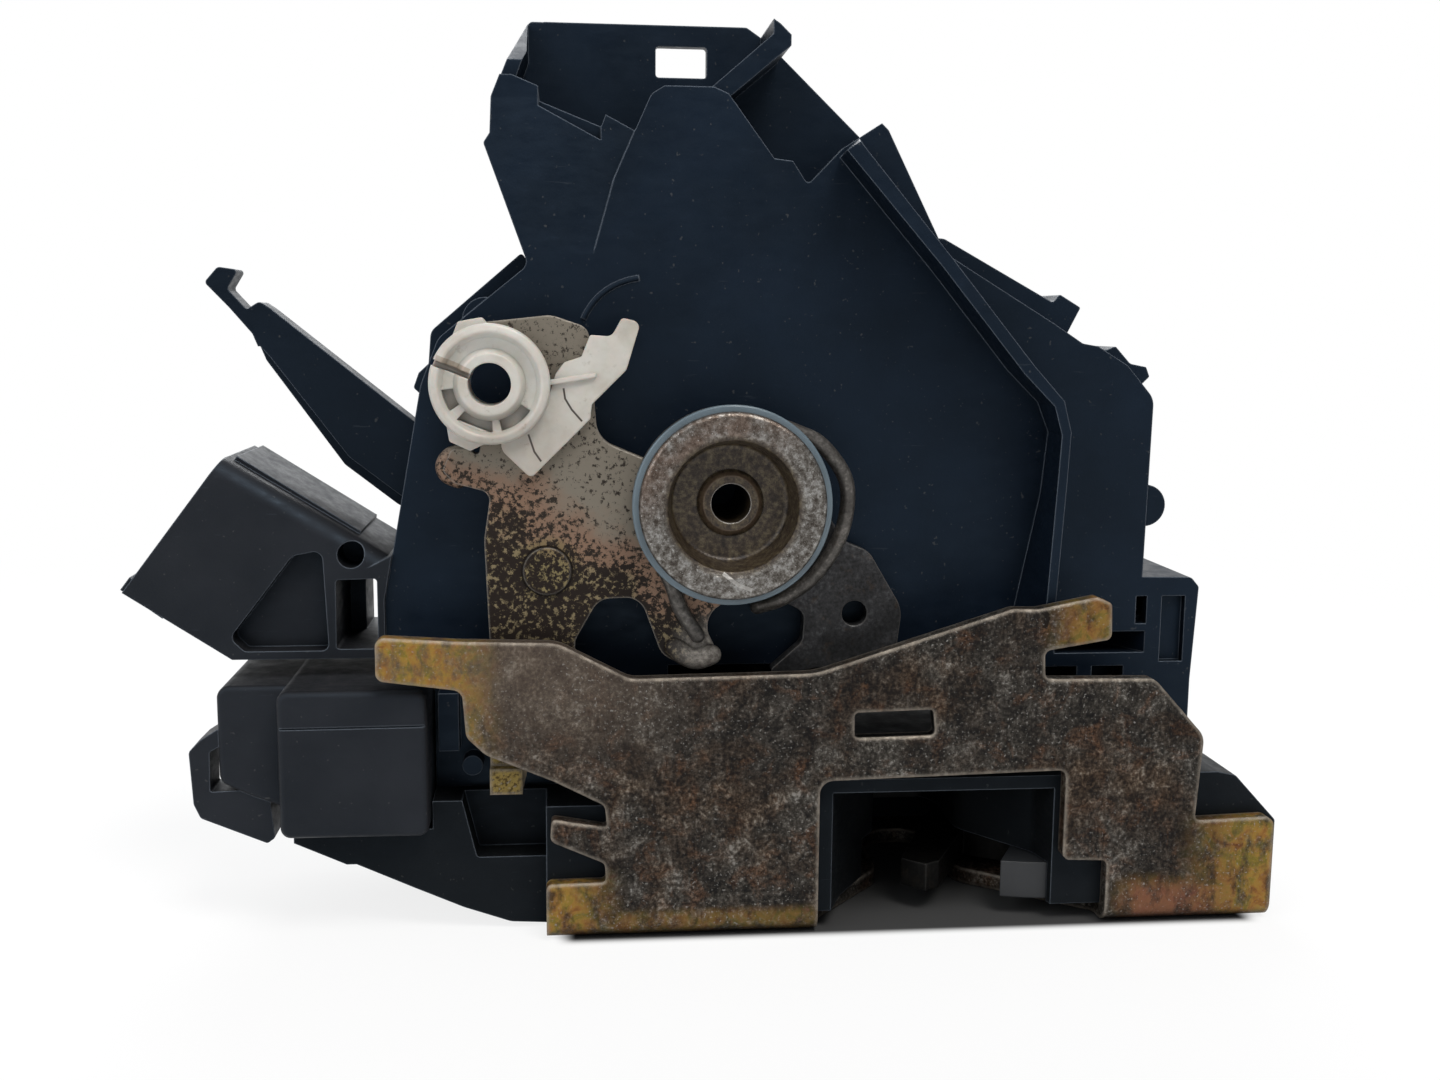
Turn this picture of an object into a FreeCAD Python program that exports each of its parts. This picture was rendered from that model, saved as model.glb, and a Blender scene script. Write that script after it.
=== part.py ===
import FreeCAD, Part
import math
import os

# Car door lock, seen from the cabin side. +X runs to the right of the shut
# face, +Y goes from the cabin side into the door, +Z rises from the shut face.
# The origin is the middle of the striker mouth on the shut face, at the front
# of the folded flange. All sizes are in millimetres.

# Clearances
RUN = 0.05
GAP = 0.3
SLACK = 0.5

# Folded end plate
PLATE = 2.4
PLATE_LEFT = -58.2
PLATE_RIGHT = 50.2
PLATE_DEPTH = 46.0
BEND = 2.8
SLOT_HALF = 6.2
SLOT_END = 37.5
MOUTH_LEFT = -18.8
MOUTH_RIGHT = 17.8
MOUTH_TOP = 23.9
FOOT_RIGHT = 24.6
FOOT_TOP = 9.9

# Fixing threads in the shut face
THREAD_R = 2.5
COLLAR_R = 5.4
COLLAR_TOP = 8.4
THREADS = [(-46.0, 24.0), (40.0, 37.0), (38.5, 10.5)]

# Latch case and the plate that closes it
CASE_TOP = 22.4
CASE_LOW_TOP = 19.4
LINER_TOP = 20.4
CAVITY_TOP = 8.5
BACK_PLATE = 2.0

# Claw, shown open
CLAW_X = 18.5
CLAW_Y = 30.5
CLAW_PIN_R = 4.0
CLAW_PIN_HEAD = 1.6
CLAW_LOW = 3.4
CLAW_THICK = 4.2
CLAW_TURN = 62.0
THROAT_HALF = 4.7
THROAT_DEPTH = 18.5
FINGER = 6.3
HOOK_R = 25.9
KICKER_R = 31.0
CLAW_BODY_R = 13.0
JACKET = 0.7

# Pawl, shown lifted by the open claw
PAWL_X = -22.0
PAWL_Y = 18.0
PAWL_PIN_R = 3.5
PAWL_HUB_R = 6.5
PAWL_TURN = 16.0
PAWL_REACH = 21.1
LUG_R = 2.2
LUG_REACH = 9.0
LUG_BEARING = 100.0
LUG_TOP = 36.6

# Release lever pivot and its stack
PIVOT_X = -32.0
PIVOT_Z = 63.3
RIVET_R = 4.0
RIVET_HOLE_R = 2.8
RIVET_HEAD_R = 4.9
WASHER_R = 13.1
CUP_R = 9.1
CUP_FRONT = -3.0
CUP_FLOOR = 2.5
CUP_WALL = 1.2
SPOOL_R = 14.0
SPRING_WIRE_R = 1.1
LEVER = 2.5
INSIDE_FRONT = 5.0
OUTSIDE_FRONT = 9.0
HUB_R = 12.2
INSIDE_TONGUE_X = -16.1
INSIDE_TONGUE_LOW = 29.0
INSIDE_TONGUE_HIGH = 32.0
OUTSIDE_TONGUE_X = -16.9
OUTSIDE_TONGUE_LOW = 33.6
TONGUE_BACK = 28.5
BUSH_X = -65.4
BUSH_Z = 79.8
BUSH_R = 8.3
BUSH_BORE_R = 2.95
BUSH_SEAT_R = 5.2
STUD_X = -57.8
STUD_Z = 53.3
STUD_R = 2.6
STUD_HEAD_R = 3.4

# Plastic housing
WALL = 2.0
HOUSE_LEFT = -81.5
HOUSE_FOOT = 37.1
HOUSE_STEP = -40.0
HOUSE_FRONT = 13.0
HOUSE_BACK = 32.0
COVER_BACK = 42.0
POCKET_FLOOR = 99.0
PANEL_DROP = 2.4
RIM_FRONT = 3.0
SHOULDER_FRONT = 22.0
SHELF_TOP = 38.5
SHELF_ROOF = 41.8
LEVER_ROOF = 37.5
SCREW_R = 1.5
SCREW_HEAD_R = 2.9
SCREWS = [(28.0, 74.0), (37.5, 29.0), (-24.0, 90.0), (-66.5, 88.5), (-77.6, 41.4)]
SWITCH_X = -4.0

# Motor, worm, wheel and lock lever
MOTOR_Y = 22.0
MOTOR_Z = 25.7
MOTOR_R = 12.0
MOTOR_FLAT = 9.1
MOTOR_LEFT = -103.4
MOTOR_RIGHT = -76.4
SHAFT_R = 1.0
SHAFT_TIP = -41.0
MODULE = 1.0
WORM_R = 3.0
WHEEL_TEETH = 28
PINION_TEETH = 10
SECTOR_TEETH = 30
TOOTH_THIN = 0.14
WHEEL_X = -58.0
WHEEL_WIDE = 6.0
SECTOR_BEARING = 249.5
AXLE_R = 1.5
LOCK_PIN_R = 2.0
LOCK_THICK = 5.2

# Connector
SOCKET_X = -111.2
SOCKET_Z = 59.0
SOCKET_ANGLE = -37.0
SOCKET_WIDE = 24.0
SOCKET_FRONT = 12.0
SOCKET_BACK = 36.0
SOCKET_WALL = 1.7
SOCKET_DEEP = 13.2
SOCKET_ROUND = 3.0
BLADE_LONG = 5.6

MOTOR_BOX = (-104.9, -74.8, 15.4, 36.8)
WORM_RADIUS_SUM = WORM_R + MODULE * WHEEL_TEETH / 2
WHEEL_Z = MOTOR_Z + WORM_RADIUS_SUM
LOCK_SPAN = MODULE * (PINION_TEETH + SECTOR_TEETH) / 2
LOCK_X = WHEEL_X - LOCK_SPAN * math.cos(math.radians(SECTOR_BEARING))
LOCK_Z = WHEEL_Z - LOCK_SPAN * math.sin(math.radians(SECTOR_BEARING))
WHEEL_FRONT = MOTOR_Y - WHEEL_WIDE / 2
PINION_FRONT = WHEEL_FRONT + WHEEL_WIDE
BACK_TOP = CASE_TOP + BACK_PLATE
COVER_LOW = BACK_TOP + CLAW_PIN_HEAD + GAP

X_AXIS = FreeCAD.Vector(1, 0, 0)
Y_AXIS = FreeCAD.Vector(0, 1, 0)
Z_AXIS = FreeCAD.Vector(0, 0, 1)


def polar(radius, degrees):
    """Flat offset at a radius and bearing."""
    angle = math.radians(degrees)
    return radius * math.cos(angle), radius * math.sin(angle)


def on_front(a, b):
    """Flat point on the XZ plane."""
    return FreeCAD.Vector(a, 0, b)


def on_plan(a, b):
    """Flat point on the XY plane."""
    return FreeCAD.Vector(a, b, 0)


def on_side(a, b):
    """Flat point on the YZ plane."""
    return FreeCAD.Vector(0, a, b)


def rounded_corner(before, corner, after, radius):
    """Start, middle and end of the arc that rounds one corner."""
    back = (before - corner).normalize()
    ahead = (after - corner).normalize()
    half = back.getAngle(ahead) / 2
    middle_line = (back + ahead).normalize()
    reach = radius / math.tan(half)
    middle = corner + middle_line * (radius / math.sin(half) - radius)
    return corner + back * reach, middle, corner + ahead * reach


def outline(points, place):
    """Closed face from flat points; a third number rounds that corner."""
    spots = [place(p[0], p[1]) for p in points]
    edges = []
    first = None
    last = None
    for i, point in enumerate(points):
        before = spots[i - 1]
        after = spots[(i + 1) % len(points)]
        start = middle = end = spots[i]
        if len(point) == 3:
            start, middle, end = rounded_corner(before, spots[i], after, point[2])
        if last is None:
            first = start
        elif last.distanceToPoint(start) > 1e-6:
            edges.append(Part.makeLine(last, start))
        if len(point) == 3:
            edges.append(Part.Arc(start, middle, end).toShape())
        last = end
    if last.distanceToPoint(first) > 1e-6:
        edges.append(Part.makeLine(last, first))
    return Part.Face(Part.Wire(edges))


def front_slab(points, y_low, y_high):
    """Outline in the XZ plane carried from one depth to another."""
    face = outline(points, on_front)
    face.translate(Y_AXIS * y_low)
    return face.extrude(Y_AXIS * (y_high - y_low))


def plan_slab(points, z_low, z_high):
    """Outline in the XY plane carried from one height to another."""
    face = outline(points, on_plan)
    face.translate(Z_AXIS * z_low)
    return face.extrude(Z_AXIS * (z_high - z_low))


def side_slab(points, x_low, x_high):
    """Outline in the YZ plane carried from one side to another."""
    face = outline(points, on_side)
    face.translate(X_AXIS * x_low)
    return face.extrude(X_AXIS * (x_high - x_low))


def block(x_low, x_high, y_low, y_high, z_low, z_high):
    """Plain block between limits."""
    corner = FreeCAD.Vector(x_low, y_low, z_low)
    return Part.makeBox(x_high - x_low, y_high - y_low, z_high - z_low, corner)


def rod_x(y, z, radius, x_low, x_high):
    """Cylinder along X."""
    return Part.makeCylinder(radius, x_high - x_low, FreeCAD.Vector(x_low, y, z), X_AXIS)


def rod_y(x, z, radius, y_low, y_high):
    """Cylinder along Y."""
    return Part.makeCylinder(radius, y_high - y_low, FreeCAD.Vector(x, y_low, z), Y_AXIS)


def rod_z(x, y, radius, z_low, z_high):
    """Cylinder along Z."""
    return Part.makeCylinder(radius, z_high - z_low, FreeCAD.Vector(x, y, z_low), Z_AXIS)


def tube_y(x, z, outer, inner, y_low, y_high):
    """Ring along Y."""
    return rod_y(x, z, outer, y_low, y_high).cut(rod_y(x, z, inner, y_low, y_high))


def fused(shapes):
    """One solid from touching pieces."""
    return shapes[0].fuse(shapes[1:]).removeSplitter()


def turned_ring(profile, x, z):
    """Ring turned about a Y axis from (radius, depth) points."""
    face = outline(profile, lambda r, y: FreeCAD.Vector(r, y, 0))
    ring = face.revolve(FreeCAD.Vector(0, 0, 0), Y_AXIS, 360)
    ring.translate(FreeCAD.Vector(x, 0, z))
    return ring


def wire_along(points, radius):
    """Round wire along a smooth curve through points."""
    curve = Part.BSplineCurve()
    curve.interpolate([FreeCAD.Vector(*p) for p in points])
    path = Part.Wire(curve.toShape())
    start = curve.value(curve.FirstParameter)
    tangent = curve.tangent(curve.FirstParameter)[0]
    ring = Part.Wire(Part.makeCircle(radius, start, tangent))
    return path.makePipeShell([ring], True, True)


def flange_outline():
    """Front flange of the end plate, with the striker mouth."""
    left_arm = [
        (-81.5, 44.9, 1.2), (-70.4, 44.2), (-56.4, 43.8, 6), (-46.2, 38.5, 4), (-19.7, 38.9, 12),
    ]
    right_top = [
        (9.0, 48.0, 2), (12.6, 47.9), (21.3, 49.6, 1), (23.5, 48.7, 0.8), (23.7, 43.4, 1),
        (13.8, 41.8, 1), (14.0, 37.6, 1), (30.5, 37.4, 2), (38.5, 28.6, 3), (37.7, 15.6, 1),
        (50.1, 16.0, 1.5), (PLATE_RIGHT, 0),
    ]
    mouth = [
        (FOOT_RIGHT, 0), (FOOT_RIGHT, FOOT_TOP, 1), (MOUTH_RIGHT, FOOT_TOP + 0.3, 1),
        (MOUTH_RIGHT, MOUTH_TOP, 1.2), (MOUTH_LEFT, MOUTH_TOP - 0.9, 2), (MOUTH_LEFT, 0),
    ]
    left_side = [
        (PLATE_LEFT, 0), (PLATE_LEFT, 8.5, 0.9), (-49.7, 8.6, 0.6), (-49.8, 11.5, 1),
        (-57.6, 15.0, 1.2), (-57.4, 18.2, 0.6), (-49.5, 16.8, 0.4), (-49.8, 20.1, 1.2),
        (-56.9, 23.8), (-66.5, 27.9, 3), (-69.2, 30.5, 2), (-69.7, 37.2, 1.5), (-81.5, 38.8, 1.2),
    ]
    return left_arm + right_top + mouth + left_side


def slot_plan(spare):
    """Plan of the striker slot, wide at the flange and narrow at its end."""
    half = SLOT_HALF + spare
    return [
        (MOUTH_LEFT - spare, -1), (MOUTH_LEFT - spare, 4.5, 2), (-half, 19.0, 6),
        (-half, SLOT_END + spare, half - 0.1), (half, SLOT_END + spare, half - 0.1),
        (half, 19.0, 6), (FOOT_RIGHT + spare, 5.0, 2), (FOOT_RIGHT + spare, -1),
    ]


def rivet_shape(x, y, radius, head_r, head):
    """Riveted pin, countersunk in the shut face and headed on the far side."""
    sink = Part.makeCone(radius + 1.4, radius, 1.4, FreeCAD.Vector(x, y, 0), Z_AXIS)
    shank = rod_z(x, y, radius, 0, BACK_TOP)
    cap = rod_z(x, y, head_r, BACK_TOP, BACK_TOP + head)
    return fused([shank, sink, cap])


def end_plate():
    """Shut face and front flange folded from one sheet."""
    flange = front_slab(flange_outline(), 0, PLATE)
    sheet = plan_slab([
        (PLATE_LEFT, 0), (PLATE_RIGHT, 0), (PLATE_RIGHT, 40.0, 4), (44.0, PLATE_DEPTH, 4),
        (-44.0, PLATE_DEPTH, 8), (PLATE_LEFT, 30.0, 8),
    ], 0, PLATE)
    sheet = sheet.cut(plan_slab(slot_plan(0), -1, PLATE + 1))
    bend = side_slab([(0, 0, BEND), (0, 8), (-3, 8), (-3, -3), (8, -3), (8, 0)], -70, 60)
    plate = fused([flange, sheet]).cut(bend)
    window = front_slab([
        (-13.9, 29.3, 0.7), (-2.0, 29.5, 0.7), (-2.4, 33.4, 0.7), (-14.0, 33.1, 0.7),
    ], -1, PLATE + 1)
    plate = plate.cut(window)
    for x, y in THREADS:
        plate = plate.fuse(rod_z(x, y, COLLAR_R, PLATE, COLLAR_TOP))
    for x, y in THREADS:
        plate = plate.cut(rod_z(x, y, THREAD_R, -1, COLLAR_TOP + 1))
    plate = plate.cut(claw_pin())
    plate = plate.cut(pawl_pin())
    return plate.removeSplitter()


def claw_pin():
    """Riveted bearing pin of the claw."""
    return rivet_shape(CLAW_X, CLAW_Y, CLAW_PIN_R, CLAW_PIN_R + 1.6, CLAW_PIN_HEAD)


def pawl_pin():
    """Riveted bearing pin of the pawl, with a low head under the lever feet."""
    return rivet_shape(PAWL_X, PAWL_Y, PAWL_PIN_R, PAWL_PIN_R + 1.2, 0.4)


def claw_plan():
    """Plan of the claw in its closed place, hub at the flat origin."""
    hub = rod_z(0, 0, CLAW_BODY_R, 0, CLAW_THICK)
    hook = plan_slab([
        (-HOOK_R - 2, -THROAT_HALF - FINGER), (-HOOK_R - 2, -THROAT_HALF), (4, -THROAT_HALF),
        (8, -9.0), (-6, -THROAT_HALF - FINGER - 1.0, 6),
    ], 0, CLAW_THICK)
    kicker = plan_slab([
        (-KICKER_R - 2, THROAT_HALF), (-KICKER_R - 2, THROAT_HALF + FINGER - 1.0),
        (-8, THROAT_HALF + FINGER + 1.2, 6), (9, 9.0), (4, THROAT_HALF),
    ], 0, CLAW_THICK)
    hook = hook.common(rod_z(0, 0, HOOK_R, 0, CLAW_THICK))
    kicker = kicker.common(rod_z(0, 0, KICKER_R, 0, CLAW_THICK))
    steel = hub.fuse([hook, kicker])
    throat = rod_z(-THROAT_DEPTH, 0, THROAT_HALF, 0, CLAW_THICK)
    way_out = block(-40, -THROAT_DEPTH, -THROAT_HALF, THROAT_HALF, 0, CLAW_THICK)
    return steel.cut(throat.fuse(way_out)).removeSplitter()


def claw_steel():
    """Claw blank with its ratchet face and bearing hole, closed."""
    steel = claw_plan()
    steel.translate(FreeCAD.Vector(CLAW_X, CLAW_Y, CLAW_LOW))
    steel = steel.cut(rod_z(PAWL_X, PAWL_Y, PAWL_REACH + 0.1, 0, CAVITY_TOP))
    return steel.cut(rod_z(CLAW_X, CLAW_Y, CLAW_PIN_R + RUN, 0, CAVITY_TOP))


def open_claw(shape):
    """Turn a closed claw piece to its open place."""
    turned = shape.copy()
    turned.rotate(FreeCAD.Vector(CLAW_X, CLAW_Y, 0), Z_AXIS, CLAW_TURN)
    return turned


def claw():
    """Steel claw blank."""
    return open_claw(claw_steel())


def claw_jacket():
    """Plastic moulded round the hook finger of the claw."""
    skin = plan_slab([
        (-HOOK_R - 3, -THROAT_HALF - FINGER - JACKET), (-HOOK_R - 3, -THROAT_HALF + 0.4),
        (-THROAT_DEPTH, -THROAT_HALF + 0.4), (3.0 - THROAT_DEPTH, -THROAT_HALF - 2.0),
        (-9.5, -THROAT_HALF - 2.0), (-9.5, -THROAT_HALF - FINGER - JACKET - 0.6, 2),
    ], CLAW_LOW - JACKET, CLAW_LOW + CLAW_THICK + JACKET)
    skin = skin.common(rod_z(0, 0, HOOK_R + JACKET, 0, CAVITY_TOP))
    skin.translate(FreeCAD.Vector(CLAW_X, CLAW_Y, 0))
    return open_claw(skin.cut(claw_steel()))


def lift_pawl(shape):
    """Turn an engaged pawl piece to its lifted place."""
    turned = shape.copy()
    turned.rotate(FreeCAD.Vector(PAWL_X, PAWL_Y, 0), Z_AXIS, PAWL_TURN)
    return turned


def pawl():
    """Pawl with its round nose and a boss for the lug."""
    high = CLAW_LOW + CLAW_THICK
    hub = rod_z(PAWL_X, PAWL_Y, PAWL_HUB_R, CLAW_LOW, high)
    arm = plan_slab([
        (PAWL_X - 5.5, PAWL_Y + 3.0), (PAWL_X + 5.8, PAWL_Y - 2.5), (-8.6, 30.5, 1.5),
        (-8.6, 42.0), (-14.2, 42.0), (-15.6, 31.5, 4),
    ], CLAW_LOW, high)
    arm = arm.common(rod_z(PAWL_X, PAWL_Y, PAWL_REACH, CLAW_LOW, high))
    lug_x, lug_y = lug_place(0)
    boss = rod_z(lug_x, lug_y, LUG_R + 1.8, CLAW_LOW, high)
    blank = fused([hub, arm, boss])
    blank = blank.cut(rod_z(PAWL_X, PAWL_Y, PAWL_PIN_R + RUN, 0, CAVITY_TOP))
    return lift_pawl(blank.cut(rod_z(lug_x, lug_y, LUG_R - 0.5, 0, CAVITY_TOP)))


def lug_place(turn):
    """Centre of the pawl's lug after a turn from the engaged place."""
    x, y = polar(LUG_REACH, LUG_BEARING + turn)
    return PAWL_X + x, PAWL_Y + y


def pawl_lug():
    """Stepped pin that the levers push, standing on the pawl."""
    x, y = lug_place(0)
    seat = CLAW_LOW + CLAW_THICK
    stem = rod_z(x, y, LUG_R - 0.5, CLAW_LOW, seat)
    pin = rod_z(x, y, LUG_R, seat, LUG_TOP)
    return lift_pawl(fused([stem, pin]))


def turned_spring(x, y, radius, wire, low, turns, first, leg_in, leg_out):
    """Torsion spring about a Z axis with one leg at each end."""
    steps = int(turns * 10)
    pitch = 2 * wire + 0.25
    points = []
    start_x, start_y = polar(radius, first)
    back_x, back_y = polar(leg_in, first + 90)
    points.append((x + start_x - back_x, y + start_y - back_y, low))
    for step in range(steps + 1):
        part_x, part_y = polar(radius, first + 360.0 * turns * step / steps)
        points.append((x + part_x, y + part_y, low + pitch * turns * step / steps))
    last = first + 360.0 * turns
    end_x, end_y = polar(radius, last)
    on_x, on_y = polar(leg_out, last + 90)
    points.append((x + end_x + on_x, y + end_y + on_y, low + pitch * turns))
    return wire_along(points, wire)


def claw_spring():
    """Opening spring of the claw, in the pocket above it."""
    return turned_spring(CLAW_X, CLAW_Y, 6.2, 0.7, CAVITY_TOP + 1.1, 3.25, 200.0, 5.0, 5.0)


def pawl_spring():
    """Closing spring of the pawl, in the pocket above it."""
    return turned_spring(PAWL_X, PAWL_Y, 5.2, 0.6, CAVITY_TOP + 1.0, 3.25, 250.0, 3.5, 3.0)


def case_outline():
    """Front view of the latch case with its sloped ends."""
    return [
        (-94.4, 15.3), (-94.4, 13.6), (-87.0, 10.2), (-85.6, 10.2), (-77.4, 6.4), (-70.3, 3.2, 6),
        (-63.5, 0.8, 3), (PLATE_LEFT, 0.5), (PLATE_LEFT, PLATE), (51.4, PLATE), (51.4, 14.7, 0.8),
        (44.8, 21.8, 1), (42.0, CASE_TOP), (HOUSE_STEP, CASE_TOP), (HOUSE_STEP, CASE_LOW_TOP),
        (-74.6, CASE_LOW_TOP), (-74.6, 15.3),
    ]


def link_bay():
    """Bay in the case's left end in which the lock link's foot swings."""
    return front_slab([
        (-71.3, 30.0), (-71.1, 22.6), (-68.3, 10.8, 0.6), (PLATE_LEFT, 10.8), (PLATE_LEFT, 30.0),
    ], 0, 11.0)


def case_feet():
    """Grooves that lighten the sloped underside of the case's left end."""
    grooves = []
    for y in (13.0, 20.5, 28.0):
        grooves.append(side_slab([
            (y, -1.0), (y + 5.2, -1.0), (y + 4.8, 9.2, 0.8), (y + 0.4, 9.2, 0.8),
        ], -93.0, PLATE_LEFT - 3.0))
    return fused(grooves)


def latch_case():
    """Moulded case that houses the claw and the pawl."""
    case = front_slab(case_outline(), PLATE, PLATE_DEPTH)
    case = case.cut(block(-100, PLATE_LEFT, 0, 6.0, -1, 30))
    case = case.cut(link_bay())
    case = case.cut(case_feet())
    case = case.cut(block(-100, -76.7, 38.0, 50, -1, 30))
    mouth = plan_slab([
        (-17.4, 0), (-14.2, 8.0, 3), (-SLOT_HALF - 0.4, 20.0, 5),
        (-SLOT_HALF - 0.4, SLOT_END, 6), (SLOT_HALF + 0.4, SLOT_END, 6),
        (SLOT_HALF + 0.4, 20.0, 5), (15.7, 8.0, 3), (17.4, 0),
    ], 0, LINER_TOP)
    case = case.cut(mouth)
    case = case.cut(claw_cavity())
    case = case.cut(pawl_cavity())
    case = case.cut(mouth_buffer())
    for x, y in THREADS:
        case = case.cut(rod_z(x, y, COLLAR_R + GAP, 0, COLLAR_TOP + GAP))
        case = case.cut(rod_z(x, y, 3.4, 0, 17.0))
    case = case.cut(rod_z(CLAW_X, CLAW_Y, CLAW_PIN_R, 0, 30))
    case = case.cut(rod_z(PAWL_X, PAWL_Y, PAWL_PIN_R, 0, 30))
    return case.cut(lug_slot(0, 30)).removeSplitter()


def claw_cavity():
    """Room for the claw's swing and its spring."""
    room = rod_z(CLAW_X, CLAW_Y, KICKER_R + SLACK, PLATE, CAVITY_TOP)
    room = room.common(block(-14.0, 32.0, 3.6, 44.2, 0, 30))
    spring = rod_z(CLAW_X, CLAW_Y, 9.0, CAVITY_TOP, 16.0)
    return fused([room, spring])


def pawl_cavity():
    """Room for the pawl's swing and its spring."""
    room = plan_slab([
        (-31.0, 10.5, 3), (-14.5, 10.5, 3), (-7.0, 26.0), (-7.0, 42.0), (-18.5, 42.0, 3),
        (-31.0, 32.0, 3),
    ], PLATE, CAVITY_TOP)
    spring = rod_z(PAWL_X, PAWL_Y, 7.2, CAVITY_TOP, 15.2)
    return fused([room, spring])


def lug_slot(low, high):
    """Curved slot in which the pawl's lug swings."""
    slot = rod_z(*lug_place(0), LUG_R + SLACK, low, high)
    for part in (0.25, 0.5, 0.75, 1.0):
        x, y = lug_place(PAWL_TURN * part)
        slot = slot.fuse(rod_z(x, y, LUG_R + SLACK, low, high))
    return slot


def back_plate():
    """Steel plate over the case that holds the far ends of the pins."""
    plate = plan_slab([
        (HOUSE_STEP + 0.5, 9.0, 4), (30.0, 9.0, 4), (42.0, 16.0, 4), (42.0, 44.0, 4), (-30.0, 44.0, 6),
        (HOUSE_STEP + 0.5, 36.0, 4),
    ], CASE_TOP, BACK_TOP)
    plate = plate.cut(rod_z(CLAW_X, CLAW_Y, CLAW_PIN_R, 0, 40))
    plate = plate.cut(rod_z(PAWL_X, PAWL_Y, PAWL_PIN_R, 0, 40))
    return plate.cut(lug_slot(0, 40))


def mouth_buffer():
    """Soft stop at the end of the striker slot."""
    low = CAVITY_TOP + 0.5
    return plan_slab([
        (-5.6, SLOT_END, 1), (-4.4, SLOT_END - 3.0, 1.5), (4.4, SLOT_END - 3.0, 1.5),
        (5.6, SLOT_END, 1),
    ], low, LINER_TOP)


def inside_release_lever():
    """Stamped inside lever with its rod arm, stop legs and bent tongue."""
    tongue = INSIDE_TONGUE_X + PLATE
    plate = front_slab([
        (-72.3, 67.6, 1.0), (-71.0, 70.6, 1.0), (-68.6, 70.8, 0.8), (-67.2, 69.4, 0.5),
        (-66.8, 72.0), (-73.0, 75.5, 3), (-72.5, 85.5, 6), (-66.7, 88.2, 2), (-57.0, 89.3, 4),
        (-51.8, 87.6, 2), (-50.6, 72.0, 4), (-41.0, 68.0), (-24.0, 55.0), (-35.8, 46.0, 3.5),
        (-32.9, 40.3, 2.2), (-36.8, 38.4, 2.2), (-41.5, 41.0, 3), (-44.6, 49.4, 3),
        (-50.5, 49.2, 3), (-53.9, 43.2, 2), (-53.9, INSIDE_TONGUE_HIGH, 2),
        (tongue, INSIDE_TONGUE_HIGH), (tongue, INSIDE_TONGUE_LOW),
        (-24.0, 27.8, 3), (-62.0, 27.8, 4), (-65.6, 33.0, 3), (-66.6, 57.8, 6),
        (-65.6, 64.5, 1.5), (-70.6, 65.8, 1.0),
    ], INSIDE_FRONT, INSIDE_FRONT + LEVER)
    hub = rod_y(PIVOT_X, PIVOT_Z, HUB_R, INSIDE_FRONT, INSIDE_FRONT + LEVER)
    foot = block(
        INSIDE_TONGUE_X, tongue, INSIDE_FRONT, TONGUE_BACK, INSIDE_TONGUE_LOW, INSIDE_TONGUE_HIGH
    )
    lever = fused([plate, hub, foot])
    back = INSIDE_FRONT + LEVER + 1
    lever = lever.cut(rod_y(PIVOT_X, PIVOT_Z, RIVET_R + RUN, 0, back))
    lever = lever.cut(rod_y(BUSH_X, BUSH_Z, BUSH_SEAT_R + RUN, 0, back))
    return lever.cut(rod_y(STUD_X, STUD_Z, STUD_R, 0, back))


def lever_stud():
    """Rivet on the inside lever that carries the lock link."""
    head = rod_y(STUD_X, STUD_Z, STUD_HEAD_R, INSIDE_FRONT - 0.5, INSIDE_FRONT)
    stem = rod_y(STUD_X, STUD_Z, STUD_R, INSIDE_FRONT, link_front() + 1.8)
    cap = rod_y(STUD_X, STUD_Z, STUD_HEAD_R, link_front() + 1.8, link_front() + 2.6)
    return fused([head, stem, cap])


def link_front():
    """Depth of the lock link's front face."""
    return INSIDE_FRONT + LEVER + 0.1


def lock_link():
    """Link that hangs on the stud, with its end bent to the front."""
    low = link_front()
    high = low + 1.6
    strip = front_slab([
        (STUD_X - 4.6, STUD_Z + 1.0, 3), (STUD_X, STUD_Z + 5.5, 4), (STUD_X + 4.6, STUD_Z + 1.0, 3),
        (STUD_X + 3.0, 44.0, 4), (-59.5, 30.0, 3), (-61.6, 20.3, 0.8), (-66.3, 20.3, 0.8),
        (-66.3, 30.0, 3), (STUD_X - 5.0, 44.0, 4),
    ], low, high)
    tab = block(-66.3, -61.6, 5.6, high, 20.3, 24.1)
    link = fused([strip, tab])
    return link.cut(rod_y(STUD_X, STUD_Z, STUD_R + RUN, 0, 20))


def ring_sector(inner, outer, first, last, y_low, y_high):
    """Part of a ring about the rod bush between two bearings."""
    middle = (first + last) / 2
    far = outer / math.cos(math.radians((last - first) / 2)) + 1
    wedge = front_slab([
        (0, 0), polar(far, first), polar(far * 1.2, middle), polar(far, last),
    ], y_low, y_high)
    wedge.translate(FreeCAD.Vector(BUSH_X, 0, BUSH_Z))
    return wedge.common(tube_y(BUSH_X, BUSH_Z, outer, inner, y_low, y_high))


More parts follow.
